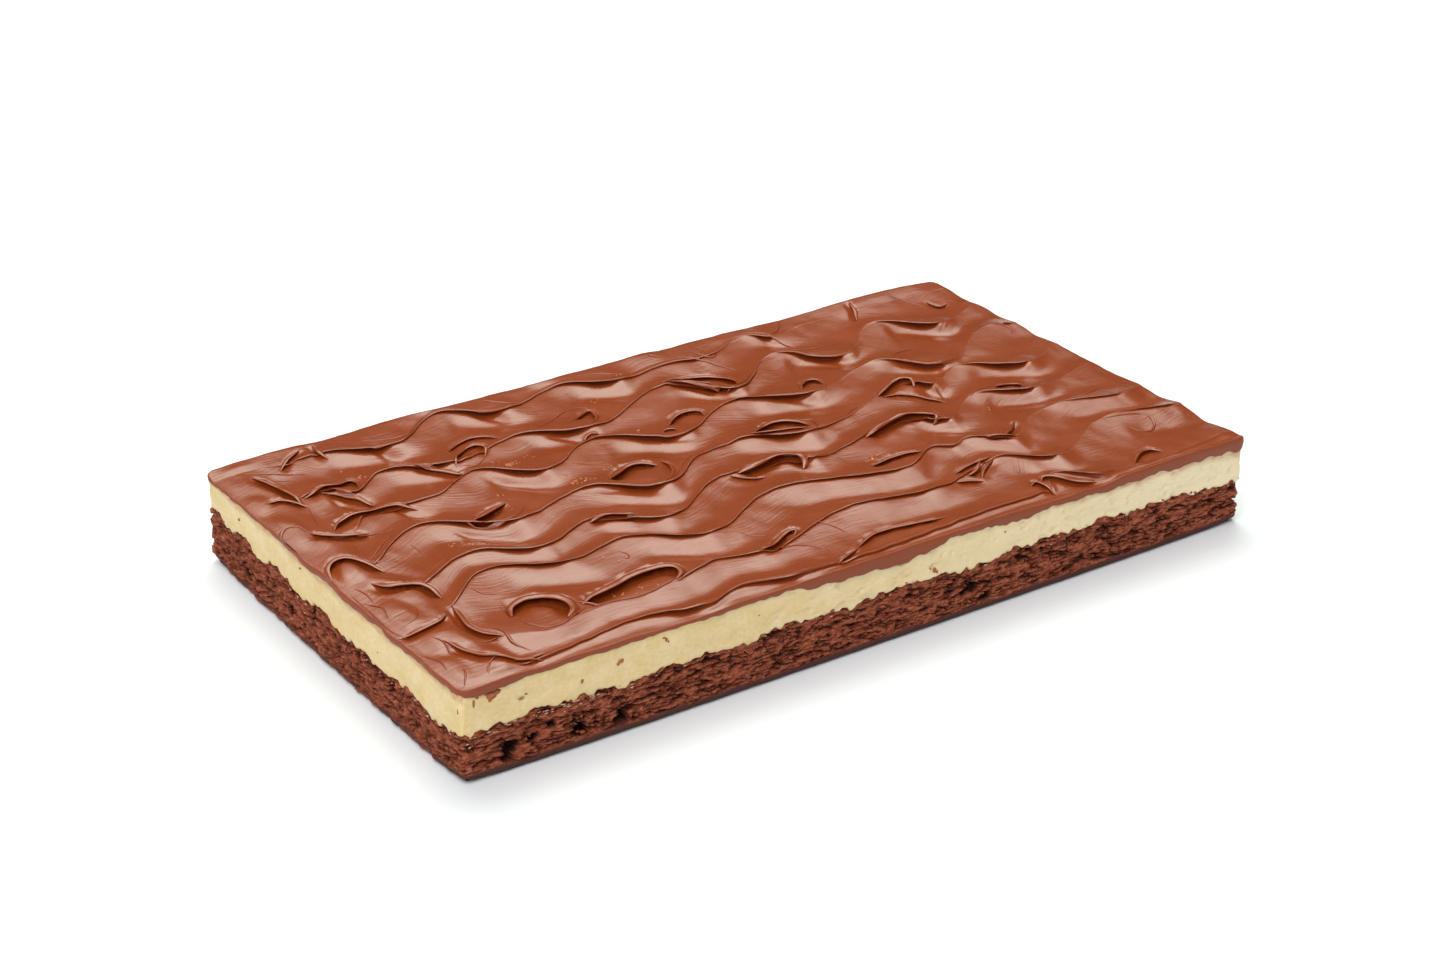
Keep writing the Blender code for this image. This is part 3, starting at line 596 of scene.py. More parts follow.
def wall_piece(name, place, rows, material, **details):
    """Close a stack of rings round the slab, lowest first, with a flat face below and above."""
    x, y, out_x, out_y = place
    rings = [np.stack([x + out_x * out, y + out_y * out, height], -1) for out, height in rows]
    points = np.concatenate(rings)
    numbers = np.arange(len(points)).reshape(len(rows), len(x))
    faces = [face for low, high in zip(numbers, numbers[1:]) for face in ring_faces(low, high)]
    faces.append(numbers[0][::-1].tolist())
    faces.append(numbers[-1].tolist())
    return make_piece(name, points, faces, material, **details)


def lump_shapes(seed):
    """Return unit lump shapes, rough and many-sided, and the faces that all of them have."""
    mesh = bpy.data.meshes.new("lump")
    ball = bmesh.new()
    bmesh.ops.create_icosphere(ball, subdivisions=1, radius=1.0)
    ball.to_mesh(mesh)
    ball.free()
    base = np.array([v.co for v in mesh.vertices])
    faces = np.array([list(p.vertices) for p in mesh.polygons])
    bpy.data.meshes.remove(mesh)
    draw = np.random.RandomState(seed)
    shapes = []
    for _ in range(LUMP_SHAPES):
        offset = draw.uniform(0, 50, 3)
        bumps = np.array([noise.noise(Vector(p * 1.3 + offset)) for p in base])
        shapes.append(base * (1 + 0.55 * bumps)[:, None])
    return shapes, faces


def lump_piece(name, places, sizes, seed, material, slot, turned=True):
    """Make a piece of lumps of the given half sizes, each turned its own way or all left upright."""
    shapes, faces = lump_shapes(seed)
    draw = np.random.RandomState(seed + 1)
    points, joined = [], []
    for k, (place, size) in enumerate(zip(places, sizes)):
        axis = Vector(draw.normal(size=3)).normalized()
        turn = np.array(Matrix.Rotation(draw.uniform(0, 2 * math.pi) * turned, 3, axis))
        shape = (shapes[k % len(shapes)] @ turn.T) * size
        joined.append(faces + k * len(shape))
        points.append(shape + place)
    return make_piece(name, np.concatenate(points), np.concatenate(joined).tolist(), material, slot=slot)


# ---- Icing ----

def icing_columns(step):
    """Place the mesh columns, closer together where the strokes start on the left."""
    fine = np.arange(FINE_FROM, FINE_TO, step / 2)
    before = np.linspace(-HALF_X, fine[0], round((fine[0] + HALF_X) / step), endpoint=False)
    after = np.linspace(fine[-1] + step, HALF_X, round((HALF_X - fine[-1]) / step))
    return np.concatenate([before, fine, after])


def start_line(y):
    """Return where the knife set down on the left, as x for an array of y."""
    return START_X + START_STEP * np.tanh((y - START_STEP_Y) / -6.0) + START_WANDER * np.sin(y / 8.0)


def blurred(values, xs, reach):
    """Return the values along a crest, blurred over a reach in millimetres."""
    weights = np.exp(-((xs[:, None] - xs[None]) / reach) ** 2) * np.gradient(xs)
    return weights @ values / weights.sum(1)


def drop_share(xs, stroke):
    """Return how open a crest is in front: it opens along each run to the front and shuts at its end."""
    share = np.zeros_like(xs)
    for (start_x, start_y), (end_x, end_y) in zip(stroke, stroke[1:]):
        t = (xs - start_x) / (end_x - start_x)
        size = np.clip((start_y - end_y) / 10.0, 0, 1)
        deeper = 1 + 0.4 * np.exp(-((t - 0.65) / 0.18) ** 2)
        share = np.maximum(share, size * np.clip(t / 0.55, 0, 1) * deeper * step_between(1.02, 0.78, t))
    return share


def slope_share(xs, k):
    """Return how full the slope below crest number k is: full where it runs to the front."""
    share = np.full_like(xs, STROKE_LEAST[k]) * step_between(-50, -66, xs)
    for (start_x, start_y), (end_x, end_y) in zip(STROKES[k], STROKES[k][1:]):
        t = (xs - start_x) / (end_x - start_x)
        size = np.clip((start_y - end_y) / 9.0, 0, 1)
        share = np.maximum(share, size * step_between(-0.15, 0.2, t) * step_between(1.3, 1.0, t))
    return blurred(share, xs, 4.0)


def heights_along(xs, share, start, low, high, layer):
    """Return uneven heights along a crest: low to high with the share, none before the stroke's start."""
    lively = 1 + 0.12 * grain(xs, 0 * xs, 0, 21.0, layer=layer)
    fade = np.clip(0.7 + (HALF_X - xs) / 20.0, 0, 1) * step_between(start - 4, start + 7, xs)
    return (low + (high - low) * share) * fade * lively


def crest_heights(xs, start, settings, k):
    """Return the swell, the lip on it, the drop in front and the slope's share along crest number k."""
    share = slope_share(xs, k)
    swell = heights_along(xs, share, start, settings.swell_low / MM, settings.swell_high / MM, 40 + k)
    lip = heights_along(xs, share, start, settings.lip_low / MM, settings.lip_high / MM, 20 + k)
    opened = drop_share(xs, STROKES[k])
    smooth_end = step_between(SMOOTH_FROM + 15, SMOOTH_FROM - 15, xs - 25 * (k < 4))
    clear = np.clip(smooth_end + 1.3 * opened, 0.12, 1) * np.clip((HALF_X - xs) / 6, 0.3, 1)
    drop_low = settings.drop_low / MM * clear
    calm = 1 - 0.75 * step_between(STROKE_CALM_FROM[k] - 12, STROKE_CALM_FROM[k] + 12, xs)
    drop = drop_low + (STROKE_DROPS[k] - drop_low) * opened * calm
    begun = step_between(start - 4, start + 7, xs)
    clear = clear * step_between(STROKE_LIP_FROM[k] - 4, STROKE_LIP_FROM[k] + 4, xs + 8)
    return np.stack([swell, lip * clear, drop * begun * np.minimum(clear, 1), share * begun])


def crest_lines(xs, settings):
    """Return y, blurred y, slope and heights along the front edge, the crests and the back edge."""
    flat = np.zeros_like(xs)
    lines, soft_lines, slopes = [flat - HALF_Y], [flat - HALF_Y], [flat]
    crests = [np.stack([FRONT_RIM(xs), flat, flat, flat])]
    for k, crest in enumerate(CRESTS):
        slopes.append(np.gradient(crest(xs), xs))
        lines.append(crest(xs) + CREST_WOBBLE * grain(xs, flat, 0, 7.0, layer=k))
        soft_lines.append(blurred(crest(xs), xs, 8.0))
        crests.append(crest_heights(xs, start_line(lines[-1]), settings, k))
    lines.append(flat + HALF_Y)
    soft_lines.append(flat + HALF_Y)
    slopes.append(flat)
    crests.append(np.stack([BACK_RIM(xs), flat, flat, flat]))
    return lines, soft_lines, slopes, crests


def icing_grid(settings):
    """Return the x, y, z and stroke coordinate of the icing's top, one row set between two lips."""
    xs = icing_columns(settings.column / MM)
    lines, soft_lines, slopes, crests = crest_lines(xs, settings)
    grid_x, grid_y, grid_z, across = [], [], [], []
    lean = settings.lean / MM
    for k in range(len(lines) - 1):
        # Rows between two lips, with their distances behind the front one and ahead of the back one.
        last = k == len(lines) - 2
        front, back = lines[k][:, None], lines[k + 1][:, None]
        front_swell, front_lip, _, _ = crests[k][:, :, None]
        back_swell, back_lip, drop, share = crests[k + 1][:, :, None]
        gap = back - front
        fit = np.minimum(gap / 8, 1)
        near, far = fit * ROWS_BEHIND, gap - fit * (ROWS_AHEAD if not last else 0.0)
        count = settings.rows // 2 if k == 0 or last else settings.rows
        share_between = np.linspace(0, 1, count + 2)[1:-1]
        behind = np.concatenate([near, near[:, -1:] + (far[:, :1] - near[:, -1:]) * share_between, far], 1)
        y = front + behind
        ahead = gap - behind
        distant = ahead + (soft_lines[k + 1][:, None] - back) * step_between(0, 8, ahead)

        # Heights: the back of the front lip, then the slope up to the drop and the wall under the back lip.
        wall = back_lip + drop
        plateau = 0.28 * gap + 1.5 + 7 * (k == 2) * step_between(-64, -76, xs)[:, None]
        fade = np.exp(-(behind / LIP_FADE) ** 2)
        rear = front_lip * fade + front_swell * np.exp(-(behind / plateau) ** 1.6)
        narrow = 1 - 0.3 * (k > 2) * step_between(30, 80, xs)[:, None]
        reach = np.minimum(0.55 * gap * (1 - share) + STROKE_SLOPES[k] * narrow * share, 0.85 * gap)
        bend = 0.16 + 0.16 * share
        ramp = np.logaddexp(0, (1 - distant / reach) / bend) / np.logaddexp(0, 1 / bend)
        rim = step_between(RIM_END, RIM_FULL, ahead)
        rise = (back_swell - drop) * ramp + np.maximum(wall - 0.3 * ahead, 0) * rim
        dig = BASIN * share * np.exp(-((ahead - reach) / 6.0) ** 2)
        under = step_between(0.5, RIM_END, ahead) * np.exp(-(np.maximum(ahead - RIM_END, 0) / 0.5) ** 2)
        undercut = 0.25 * wall * under + dig

        # Both lips lean over to the front, square to their lines.
        pull_front = lean * front_lip * np.exp(-(behind / 1.1) ** 2) * (k > 0)
        bulge = step_between(0.0, 0.5, ahead) * rim
        pull_back = lean * back_lip * rim + 0.35 * drop * bulge - 1.1 * wall * under
        pull_back = pull_back * (not last)
        slope_front, slope_back = slopes[k][:, None], slopes[k + 1][:, None]
        turn_front = pull_front / np.sqrt(1 + slope_front ** 2)
        turn_back = pull_back / np.sqrt(1 + slope_back ** 2)
        grid_x.append(xs[:, None] + turn_front * slope_front + turn_back * slope_back)
        grid_y.append(y - turn_front - turn_back)
        height = rear * (1 - ramp) + rise - undercut
        if last:
            height = front_lip * fade + front_swell * (1 - behind / gap) + back_swell * behind / gap
        grid_z.append(TROUGH + height)
        across.append(100.0 * k + behind + 0 * y)
    x, y, z, across = (np.concatenate(part, 1) for part in (grid_x, grid_y, grid_z, across))
    return x, y, z, across


def smooth_path(path, step):
    """Return points and headings a step apart along a path, with its turns rounded off."""
    corners = np.array(path, float)
    reach = np.concatenate([[0], np.cumsum(np.hypot(*np.diff(corners, axis=0).T))])
    places = np.linspace(0, reach[-1], max(8, round(reach[-1] / step)))
    line = np.stack([np.interp(places, reach, axis) for axis in corners.T], -1)
    for _ in range(round(6 / step ** 2)):
        line[1:-1] = (line[:-2] + 2 * line[1:-1] + line[2:]) / 4
    heading = np.gradient(line, axis=0)
    return line, heading / np.hypot(*heading.T)[:, None]


def fold_section(curl):
    """Return the outline of a fold a millimetre high, between the low ridge and the lip that curls over."""
    ridge = np.array(RIDGE)
    lip = np.array(LIP) * (LIP_SPREAD, 1)
    return ridge + curl * (lip - ridge)


def grid_quads(columns, rows):
    """Return the point numbers of a grid, a row of numbers for each column, and its four-sided faces."""
    number = np.arange(columns * rows).reshape(columns, rows)
    quads = np.stack([number[:-1, :-1], number[1:, :-1], number[1:, 1:], number[:-1, 1:]], -1)
    return number, quads.reshape(-1, 4).tolist()


def build_folds(settings):
    """Make the folds: lips swept along their paths, set on the icing and drawn out thin at both ends."""
    x, y, z, _ = icing_top(settings)
    top_points = np.stack([x, y, z], -1).reshape(-1, 3).tolist()
    tree = BVHTree.FromPolygons(top_points, grid_quads(*x.shape)[1])
    down = Vector((0, 0, -1))

    def surface(x, y):
        hit = tree.ray_cast(Vector((x, y, 100)), down)[0]
        return hit.z if hit else TROUGH

    points, faces, alongs, acrosses = [], [], [], []
    for height, curl, path in FOLDS:
        line, heading = smooth_path(path, settings.fold_step / MM)
        share = np.linspace(0, 1, len(line))
        ends = FOLD_END + (1 - FOLD_END) * np.sin(np.pi * share) ** 0.7
        size = (FOLD_LEAST + FOLD_SHARE * height) * ends
        size = size * (1 + 0.15 * grain(line[:, 0], line[:, 1], 0, 6.0, layer=60))
        section = fold_section(curl)

        # One ring of points for each place along the path, set down on the icing.
        side = np.stack([heading[:, 1], -heading[:, 0]], -1)
        reach = size[:, None] * section[:, 0]
        spots = line[:, None] + side[:, None] * reach[:, :, None]
        spots = np.clip(spots, (-HALF_X, -HALF_Y), (HALF_X, HALF_Y))
        here = np.array([surface(*place) for place in line])[:, None]
        ground = np.array([[surface(*spot) for spot in ring] for ring in spots])
        follow = np.where(section[:, 1] > 0.3, 0.5, 1.0)
        base = here + (ground - here) * follow - 0.4 * (section[:, 1] < -0.25)
        for _ in range(16):
            base[1:-1] = (base[:-2] + 2 * base[1:-1] + base[2:]) / 4
        top = np.minimum(base + size[:, None] * section[:, 1], ICING_HIGH.z / MM - 0.05)
        start = len(points)
        points += np.concatenate([spots, top[:, :, None]], -1).reshape(-1, 3).tolist()
        alongs += spots[:, :, 0].reshape(-1).tolist()
        acrosses += reach.reshape(-1).tolist()
        rings = np.arange(start, len(points)).reshape(len(line), len(section))
        for near, far in zip(rings, rings[1:]):
            faces += ring_faces(far, near)
        faces.append(rings[0].tolist())
        faces.append(rings[-1][::-1].tolist())
    attributes = {"stroke_along": alongs, "stroke_across": acrosses}
    return make_piece("chocolate_icing_folds", points, faces, spread_milk_chocolate(),
                      slot="milk_chocolate", attributes=attributes)


def hollow_depths(x, y):
    """Return how deep the icing is hollowed in front of each curled fold, at arrays of places."""
    depth = np.zeros_like(x)
    for height, curl, path in FOLDS:
        if curl < 0.6:
            continue
        line, heading = smooth_path(path, 1.0)
        width = 1.2 + 2.6 * height
        low, high = line.min(0) - width, line.max(0) + width
        near = (x > low[0]) & (x < high[0]) & (y > low[1]) & (y < high[1])
        spots = np.stack([x[near], y[near]], -1)
        away = np.hypot(*np.moveaxis(spots[:, None] - line[None], -1, 0))
        closest = away.argmin(1)
        way = heading[closest]
        apart = spots - line[closest]
        front = apart[:, 0] * way[:, 1] - apart[:, 1] * way[:, 0]
        end = np.minimum(closest, len(line) - 1 - closest) / len(line)
        distance = away.min(1)
        hidden = 0.5 + 0.6 * height
        scoop = step_between(-hidden, 0.7 - hidden, front) * step_between(width, 0.3 * width, distance)
        sunk = HOLLOW_SHARE * curl * height * scoop * step_between(-0.02, 0.2, end)
        depth[near] = np.maximum(depth[near], sunk)
    return depth


def icing_relief(x, y):
    """Return the slow swells of the icing, and how much thicker it is where the knife set down."""
    swell = 0.3 * grain(x, y, 0, 38.0, layer=3) + 0.15 * grain(x, y, 0, 10.0, layer=4)
    swell = swell + 0.04 * grain(x, y, 0, 4.0, layer=8)
    distance = x - start_line(y)
    strip = step_between(5, -7, distance)
    press = 2.2 * step_between(-HALF_X - 3, -158, x) + 0.35 * grain(x, y, 0, 17.0, layer=6)
    for centre_x, centre_y, half_x, half_y, height in DABS:
        reach = np.hypot((x - centre_x) / half_x, (y - centre_y) / half_y)
        press = press + height * step_between(1.15, 0.35, reach)
    return swell + strip * press


def furrow_depths(x, y):
    """Return how deep the furrows are at arrays of places."""
    depth = np.zeros_like(x)
    for start_x, start_y, end_x, end_y, width, deepest in FURROWS:
        length = math.hypot(end_x - start_x, end_y - start_y)
        way = ((end_x - start_x) / length, (end_y - start_y) / length)
        along = ((x - start_x) * way[0] + (y - start_y) * way[1]) / length
        widening = width * (0.25 + 0.75 * np.clip(along, 0, 1))
        aside = ((y - start_y) * way[0] - (x - start_x) * way[1]) / widening
        shape = np.exp(-np.where(aside > 0, 0.55 * aside, aside) ** 2)
        here = deepest * shape * step_between(0, 0.4, along) * step_between(1.25, 0.9, along)
        depth = np.maximum(depth, here)
    return depth


def under_limit(height):
    """Return heights above the troughs, eased off so that none passes the slab's full height."""
    free, limit = 2.2, ICING_HIGH.z / MM - 0.9 - TROUGH
    over = np.maximum(height - free, 0)
    return np.minimum(height, free) + (limit - free) * np.tanh(over / (limit - free))


def edge_fade(x, y):
    """Return 0.3 at the slab's edge and 1 from five millimetres inside it, at arrays of places."""
    near = step_between(0, 5, HALF_Y - np.abs(y)) * step_between(0, 5, HALF_X - np.abs(x))
    return 0.3 + 0.7 * near


def icing_top(settings):
    """Return the icing's top as arrays, without the hollows in front of the folds."""
    x, y, z, across = icing_grid(settings)
    height = z - TROUGH + (icing_relief(x, y) - furrow_depths(x, y)) * edge_fade(x, y)
    return x, y, TROUGH + under_limit(height), across


def rounded_edge(x, y):
    """Round the corners of a rectangle of places and let its sides wander a little."""
    corner = ICING_CORNER
    u = np.clip((np.abs(x) - HALF_X + corner) / corner, 0, 1)
    v = np.clip((np.abs(y) - HALF_Y + corner) / corner, 0, 1)
    round_x = np.sign(x) * corner * u * (np.sqrt(1 - v ** 2 / 2) - 1)
    round_y = np.sign(y) * corner * v * (np.sqrt(1 - u ** 2 / 2) - 1)
    side_x = np.exp(-((HALF_X - np.abs(x)) / 4.0)) * np.sign(x)
    side_y = np.exp(-((HALF_Y - np.abs(y)) / 4.0)) * np.sign(y)
    wander = np.where(y < 0, 0.35, 0.4)
    out_x = (0.6 * grain(x, y, 0, 13.0, layer=71) + 0.25 * grain(x, y, 0, 5.0, layer=72) - 0.2) * side_x
    out_y = wander * (grain(x, y, 0, 13.0, layer=73) + 0.35 * grain(x, y, 0, 5.0, layer=74)) * side_y
    out_y = out_y + (0.5 * (BACK_RIM(x) - 1.6) + 0.5) * np.maximum(side_y, 0)
    return x + round_x + out_x, np.minimum(y + round_y + out_y, HALF_Y + 1.2)


def build_icing(settings):
    """Make the icing: a wavy top whose lips lean over, and a knife-cut face down to the cream."""
    x, y, z, across = icing_top(settings)
    z = np.maximum(z - hollow_depths(x, y) * edge_fade(x, y), CREAM_TOP + 0.4)
    flat_x, flat_y = x.reshape(-1), y.reshape(-1)
    points = np.stack([*rounded_edge(flat_x, flat_y), z.reshape(-1)], -1)
    number, faces = grid_quads(*x.shape)
    border = np.concatenate([number[:, 0], number[-1, 1:], number[-2::-1, -1], number[0, -2:0:-1]])

    edge = points[border]
    out_x = np.where(np.abs(flat_x[border]) > HALF_X - 0.01, np.sign(flat_x[border]), 0)
    out_y = np.where(np.abs(flat_y[border]) > HALF_Y - 0.01, np.sign(flat_y[border]), 0)
    low = side_height(ICING_PROFILES, edge[:, 0], edge[:, 1])
    torn = step_between(-60, -20, edge[:, 0]) * (edge[:, 1] < 0)
    low = low + (0.35 + 0.25 * torn) * grain(edge[:, 0], edge[:, 1], 0, 3.0, layer=9)
    low = low + 0.45 * torn * np.tanh(3 * grain(edge[:, 0], edge[:, 1], 0, 5.5, layer=11))
    belly = 0.3 + 0.3 * grain(edge[:, 0], edge[:, 1], 0, 14.0, layer=10)

    # The cut face: rings down from the edge, bellied a little, and two more that close it on the cream.
    rings = []
    for share in (0.04, 0.12, 0.25, 0.45, 0.65, 0.82, 0.95, 1.0):
        out = 0.35 * (1 - math.exp(-share / 0.08)) + belly * math.sin(math.pi * share)
        height = edge[:, 2] + (low - edge[:, 2]) * share ** 1.3
        rings.append(np.stack([edge[:, 0] + out_x * out, edge[:, 1] + out_y * out, height], -1))
    for inset, height in ((0.8, low + 0.1), (4.0, np.full_like(low, CREAM_TOP))):
        share_x = 1 - 2 * inset / LENGTH
        share_y = 1 - 2 * inset / WIDTH
        rings.append(np.stack([edge[:, 0] * share_x, edge[:, 1] * share_y, height], -1))
    ring = border
    for k in range(len(rings)):
        lower = len(points) + k * len(border) + np.arange(len(border))
        faces += ring_faces(lower, ring)
        ring = lower
    faces.append(ring[::-1].tolist())
    attributes = {
        "stroke_along": np.concatenate([flat_x, np.tile(edge[:, 0], len(rings))]),
        "stroke_across": np.concatenate([across.reshape(-1), np.tile(edge[:, 1], len(rings))]),
        "cut": np.concatenate([0 * flat_x, np.ones(len(edge) * len(rings))]),
    }
    points = np.concatenate([points] + rings)
    return make_piece("chocolate_icing_spread", points, faces, spread_milk_chocolate(),
                      slot="milk_chocolate", replaced="chocolate_icing", attributes=attributes)


def build_nubs(settings):
    """Set small flat nubs of chocolate on the finished icing, in loose clusters; their pale peach is
    painted highlight.
    """
    mesh = bpy.data.objects["chocolate_icing_spread"].data
    points = [v.co / MM for v in mesh.vertices]
    tree = BVHTree.FromPolygons(points, [list(p.vertices) for p in mesh.polygons])
    places_seed, shapes_seed = NUB_SEEDS
    draw = np.random.RandomState(places_seed)
    places, sizes = [], []
    for centre_x, centre_y, spread, count in NUBS:
        for _ in range(count):
            x, y = np.array((centre_x, centre_y)) + spread * draw.uniform(-1, 1, 2) * (1.0, 0.6)
            half = draw.uniform(*NUB_HALF)
            hit = tree.ray_cast(Vector((x, y, 100)), Vector((0, 0, -1)))[0]
            places.append((x, y, hit.z))
            sizes.append((half * draw.uniform(*NUB_LONG), half, 0.45 * half))
    # The pale colour mixed into the nubs is painted highlight.
    material = smeared("milk_chocolate_nubs", settings.nub, settings.nub_painted_highlight, roughness=0.3)
    return lump_piece("chocolate_icing_nubs", places, sizes, shapes_seed, material, "milk_chocolate")


# ---- Cream and cake ----

def ragged_top(x, y):
    """Return the height of the cake's torn upper edge at arrays of places on its side."""
    chunks = 0.9 * np.tanh(3 * grain(x, y, 0, 4.2, layer=26))
    return side_height(CAKE_PROFILES, x, y) + chunks + 0.5 * grain(x, y, 0, 1.6, layer=27)


def build_cream(settings):
    """Make the cream: a knife-cut side from the cake's ragged edge up to the icing, stained under it."""
    place = outline(settings.mesh_step / MM, CREAM_CORNER)
    x, y, _, _ = place
    low = ragged_top(x, y) + 0.1
    high = side_height(ICING_PROFILES, x, y) + 0.7
    ripple = settings.ripple / MM

    # Rings from inside the cake's edge, up the cut side and in under the icing, with how stained each is.
    rows = [(0 * x - 8.0, low - 0.4), (0 * x - 3.2, low - 1.2), (0 * x - 1.6, low - 0.7)]
    smears = [0 * x] * 3
    smeared_side = np.where(x < SIDE_BAND - HALF_X, 1.0, 0.7 * step_between(40, 110, x))
    for share in np.linspace(0, 1, 22):
        height = low + (high - low) * share
        drag = grain(x, y, height, 22.0, 5.0, layer=12)
        nick = step_between(0.3, 0.8, grain(x, y, height, 3.4, 1.7, layer=13)) * step_between(-110, -20, x)
        out = -0.35 + ripple * drag - 0.55 * nick + 0.1 * grain(x, y, height, 2.2, 1.2, layer=14)
        rows.append((out, height))
        reach = 4.3 + 1.5 * grain(x, y, 0, 9.0, layer=15)
        streaks = 0.65 + 0.35 * grain(x, y, height, 3.0, 1.2, layer=16)
        smears.append(smeared_side * streaks * step_between(reach, 1.2, high - height))
    rows.append((0 * x - 1.6, high - 0.2))
    rows.append((0 * x - 6.0, high - 0.8))
    smears += [0 * x] * 2
    return wall_piece("cream_filling_cut", place, rows, cut_cream(), slot="cream_filling",
                      replaced="cream_layer", attributes={"smear": np.clip(np.concatenate(smears), 0, 1)})


def hole_depths(x, y, z):
    """Return how deep the torn holes are at arrays of points of the cut side."""
    depth = np.zeros_like(x)
    on_front = y < SIDE_BAND - HALF_Y
    on_left = x < SIDE_BAND - HALF_X
    for holes, place, here in ((HOLES_FRONT, x, on_front), (HOLES_LEFT, y, on_left)):
        for centre, height, radius, deepest in holes:
            near = here & (np.abs(place - centre) < 2 * radius) & (np.abs(z - height) < 2 * radius)
            ragged = radius * (1 + 0.3 * grain(x[near], y[near], z[near], 2.2, layer=17))
            reach = np.hypot((place[near] - centre) * 0.9, z[near] - height) / ragged
            depth[near] = np.maximum(depth[near], deepest * step_between(1.05, 0.8, reach))
    return depth


def crevices(x, y, z, length, height, width, layer):
    """Return 1 in long thin gaps between flakes and 0 away from them, at arrays of points."""
    line = np.abs(grain(x, y, z, length, height, layer=layer))
    here = step_between(-0.15, 0.25, grain(x, y, z, 0.9 * length, 2.2 * height, layer=layer + 1))
    return step_between(width, 0.3 * width, line) * here


def cake_side(x, y, z, settings):
    """Return how far the crumb stands out from the cut plane, and how much painted shade its gaps, pores
    and holes get, at arrays of points.
    """
    sag = 0.6 * grain(x, y, 0, 12.0, layer=20)
    long_gaps = crevices(x, y, z + sag, 9.5, 1.35, 0.28, 21)
    short_gaps = 0.8 * crevices(x, y, z - sag, 5.0, 0.95, 0.27, 31)
    gaps = np.maximum(long_gaps, short_gaps)
    pores = step_between(0.4, 0.95, grain(x, y, z, 2.2, 0.9, layer=22))
    holes = hole_depths(x, y, z)
    # Painted shade in the gaps, pores and holes, from 0 to 1.
    hollow = np.clip(gaps + 0.6 * pores + holes / 1.5, 0, 1)
    crags = settings.crag / MM * grain(x, y, z, 13.0, 4.0, layer=23)
    lumps = crags + 0.3 * grain(x, y, z, 3.6, 1.2, layer=24)
    lumps = lumps + 0.25 * grain(x, y, z, 2.1, 1.4, layer=48)
    out = lumps - settings.crevice / MM * gaps - 0.7 * pores - holes
    return out + 0.12 * grain(x, y, z, 1.6, 0.8, layer=25), hollow


def build_cake(settings):
    """Make the cake: a flat underside, a round baked edge, torn on the left, and an open, flaky side."""
    place = outline(settings.mesh_step / MM, CAKE_CORNER)
    x, y, _, _ = place

    # The baked edge lifts toward the corners, and bows out between them.
    corner_distance = HALF_X - np.abs(x) + HALF_Y - np.abs(y)
    lift = 1.8 * np.clip(1 - corner_distance / 22.0, 0, 1) ** 2
    bow = 1.1 * np.minimum(2 - (np.abs(x) / HALF_X) ** 4 - (np.abs(y) / HALF_Y) ** 4, 1)
    top = ragged_top(x, y)
    radius = BAKED_RADIUS
    torn = (x < SIDE_BAND - HALF_X) * step_between(-HALF_Y, 14 - HALF_Y, y)
    torn_foot = torn * (0.6 * grain(x, y, 0, 4.5, layer=45) + 0.45 * grain(x, y, 0, 1.9, layer=46))

    # Rings up the baked edge, then up the cut side, where the crumb opens out above it.
    rows = [(0 * x - radius - 0.4, 0 * x)]
    # Each ring also gets a share of painted shade for its gaps and pores.
    crust, hollow = [np.ones_like(x)], [np.zeros_like(x)]
    for share in np.linspace(0.08, 1, 7):
        angle = share * math.pi / 2
        out = bow - radius * (1 - math.sin(angle)) + 0.12 * grain(x, y, share * 3, 9.0, layer=28)
        out = out + share * torn_foot
        rows.append((out, radius * (1 - math.cos(angle)) * 0.9 + lift * (1 - 0.5 * share)))
        crust.append(1 - 0.8 * torn * step_between(-0.5, 0.4, grain(x, y, share * 3, 4.0, layer=47)))
        # Painted shade in spots along the torn foot.
        hollow.append(0.7 * torn * step_between(0.1, 0.7, grain(x, y, share * 3, 2.4, layer=49)))
    low = rows[-1][1]
    band = 0.5 + 0.5 * grain(x, y, 0, 6.0, layer=29)
    for share in np.linspace(0, 1, settings.mesh_rows + 1)[1:]:
        height = low + (top - low) * share
        # dark is the painted shade of the crumb's gaps, pores and holes.
        crumb, dark = cake_side(x, y, height, settings)
        open_share = step_between(0.0, 0.9, height - low - 0.8 * band)
        tuck = -0.7 * step_between(0.95, 1.0, share)
        foot = torn_foot * step_between(0.35, 0.0, share)
        rows.append((bow * (1 - share) + crumb * open_share + tuck - 0.3 * share + foot, height))
        crust.append(1 - open_share)
        hollow.append(dark * open_share)
    rows.append((0 * x - 3.0, top + 0.2))
    crust.append(np.zeros_like(x))
    hollow.append(np.zeros_like(x))
    return wall_piece("cake_crumb_cut", place, rows, open_crumb(), slot="cake_crumb", replaced="cake_base",
                      attributes={"crust": np.concatenate(crust), "hollow": np.concatenate(hollow)})


def build_crumbs(settings):
    """Scatter crumbs on the cut sides and along the seam under the cream, and set the clumps."""
    places_seed, shapes_seed = CRUMB_SEEDS
    draw = np.random.RandomState(places_seed)
    x, y, out_x, out_y = outline(0.5, CAKE_CORNER)
    top = side_height(CAKE_PROFILES, x, y)
    places, sizes = [], []
    for _ in range(settings.crumb_count):
        i = draw.randint(len(x))
        height = 3.0 + (top[i] - 3.0) * draw.beta(1.3, 1.0)
        half = draw.uniform(*CRUMB_HALF) * (1.3 if draw.rand() < 0.15 else 1.0)
        out = draw.uniform(-0.9, -0.1) - 0.3
        places.append((x[i] + out_x[i] * out, y[i] + out_y[i] * out, height))
        sizes.append((half * 1.3, half * 1.3, half * 0.6))
    for _ in range(settings.crumb_count // 3):
        i = draw.randint(len(x))
        half = draw.uniform(*SEAM_HALF)
        places.append((x[i] - out_x[i] * 0.6, y[i] - out_y[i] * 0.6, top[i] + draw.uniform(-1.2, 0.6)))
        sizes.append((half * 1.3, half * 1.3, half * 0.8))
    for spot, half in CLUMPS:
        places.append(spot)
        sizes.append(half)
    return lump_piece("cake_crumbs_loose", places, sizes, shapes_seed, open_crumb(), "cake_crumb")


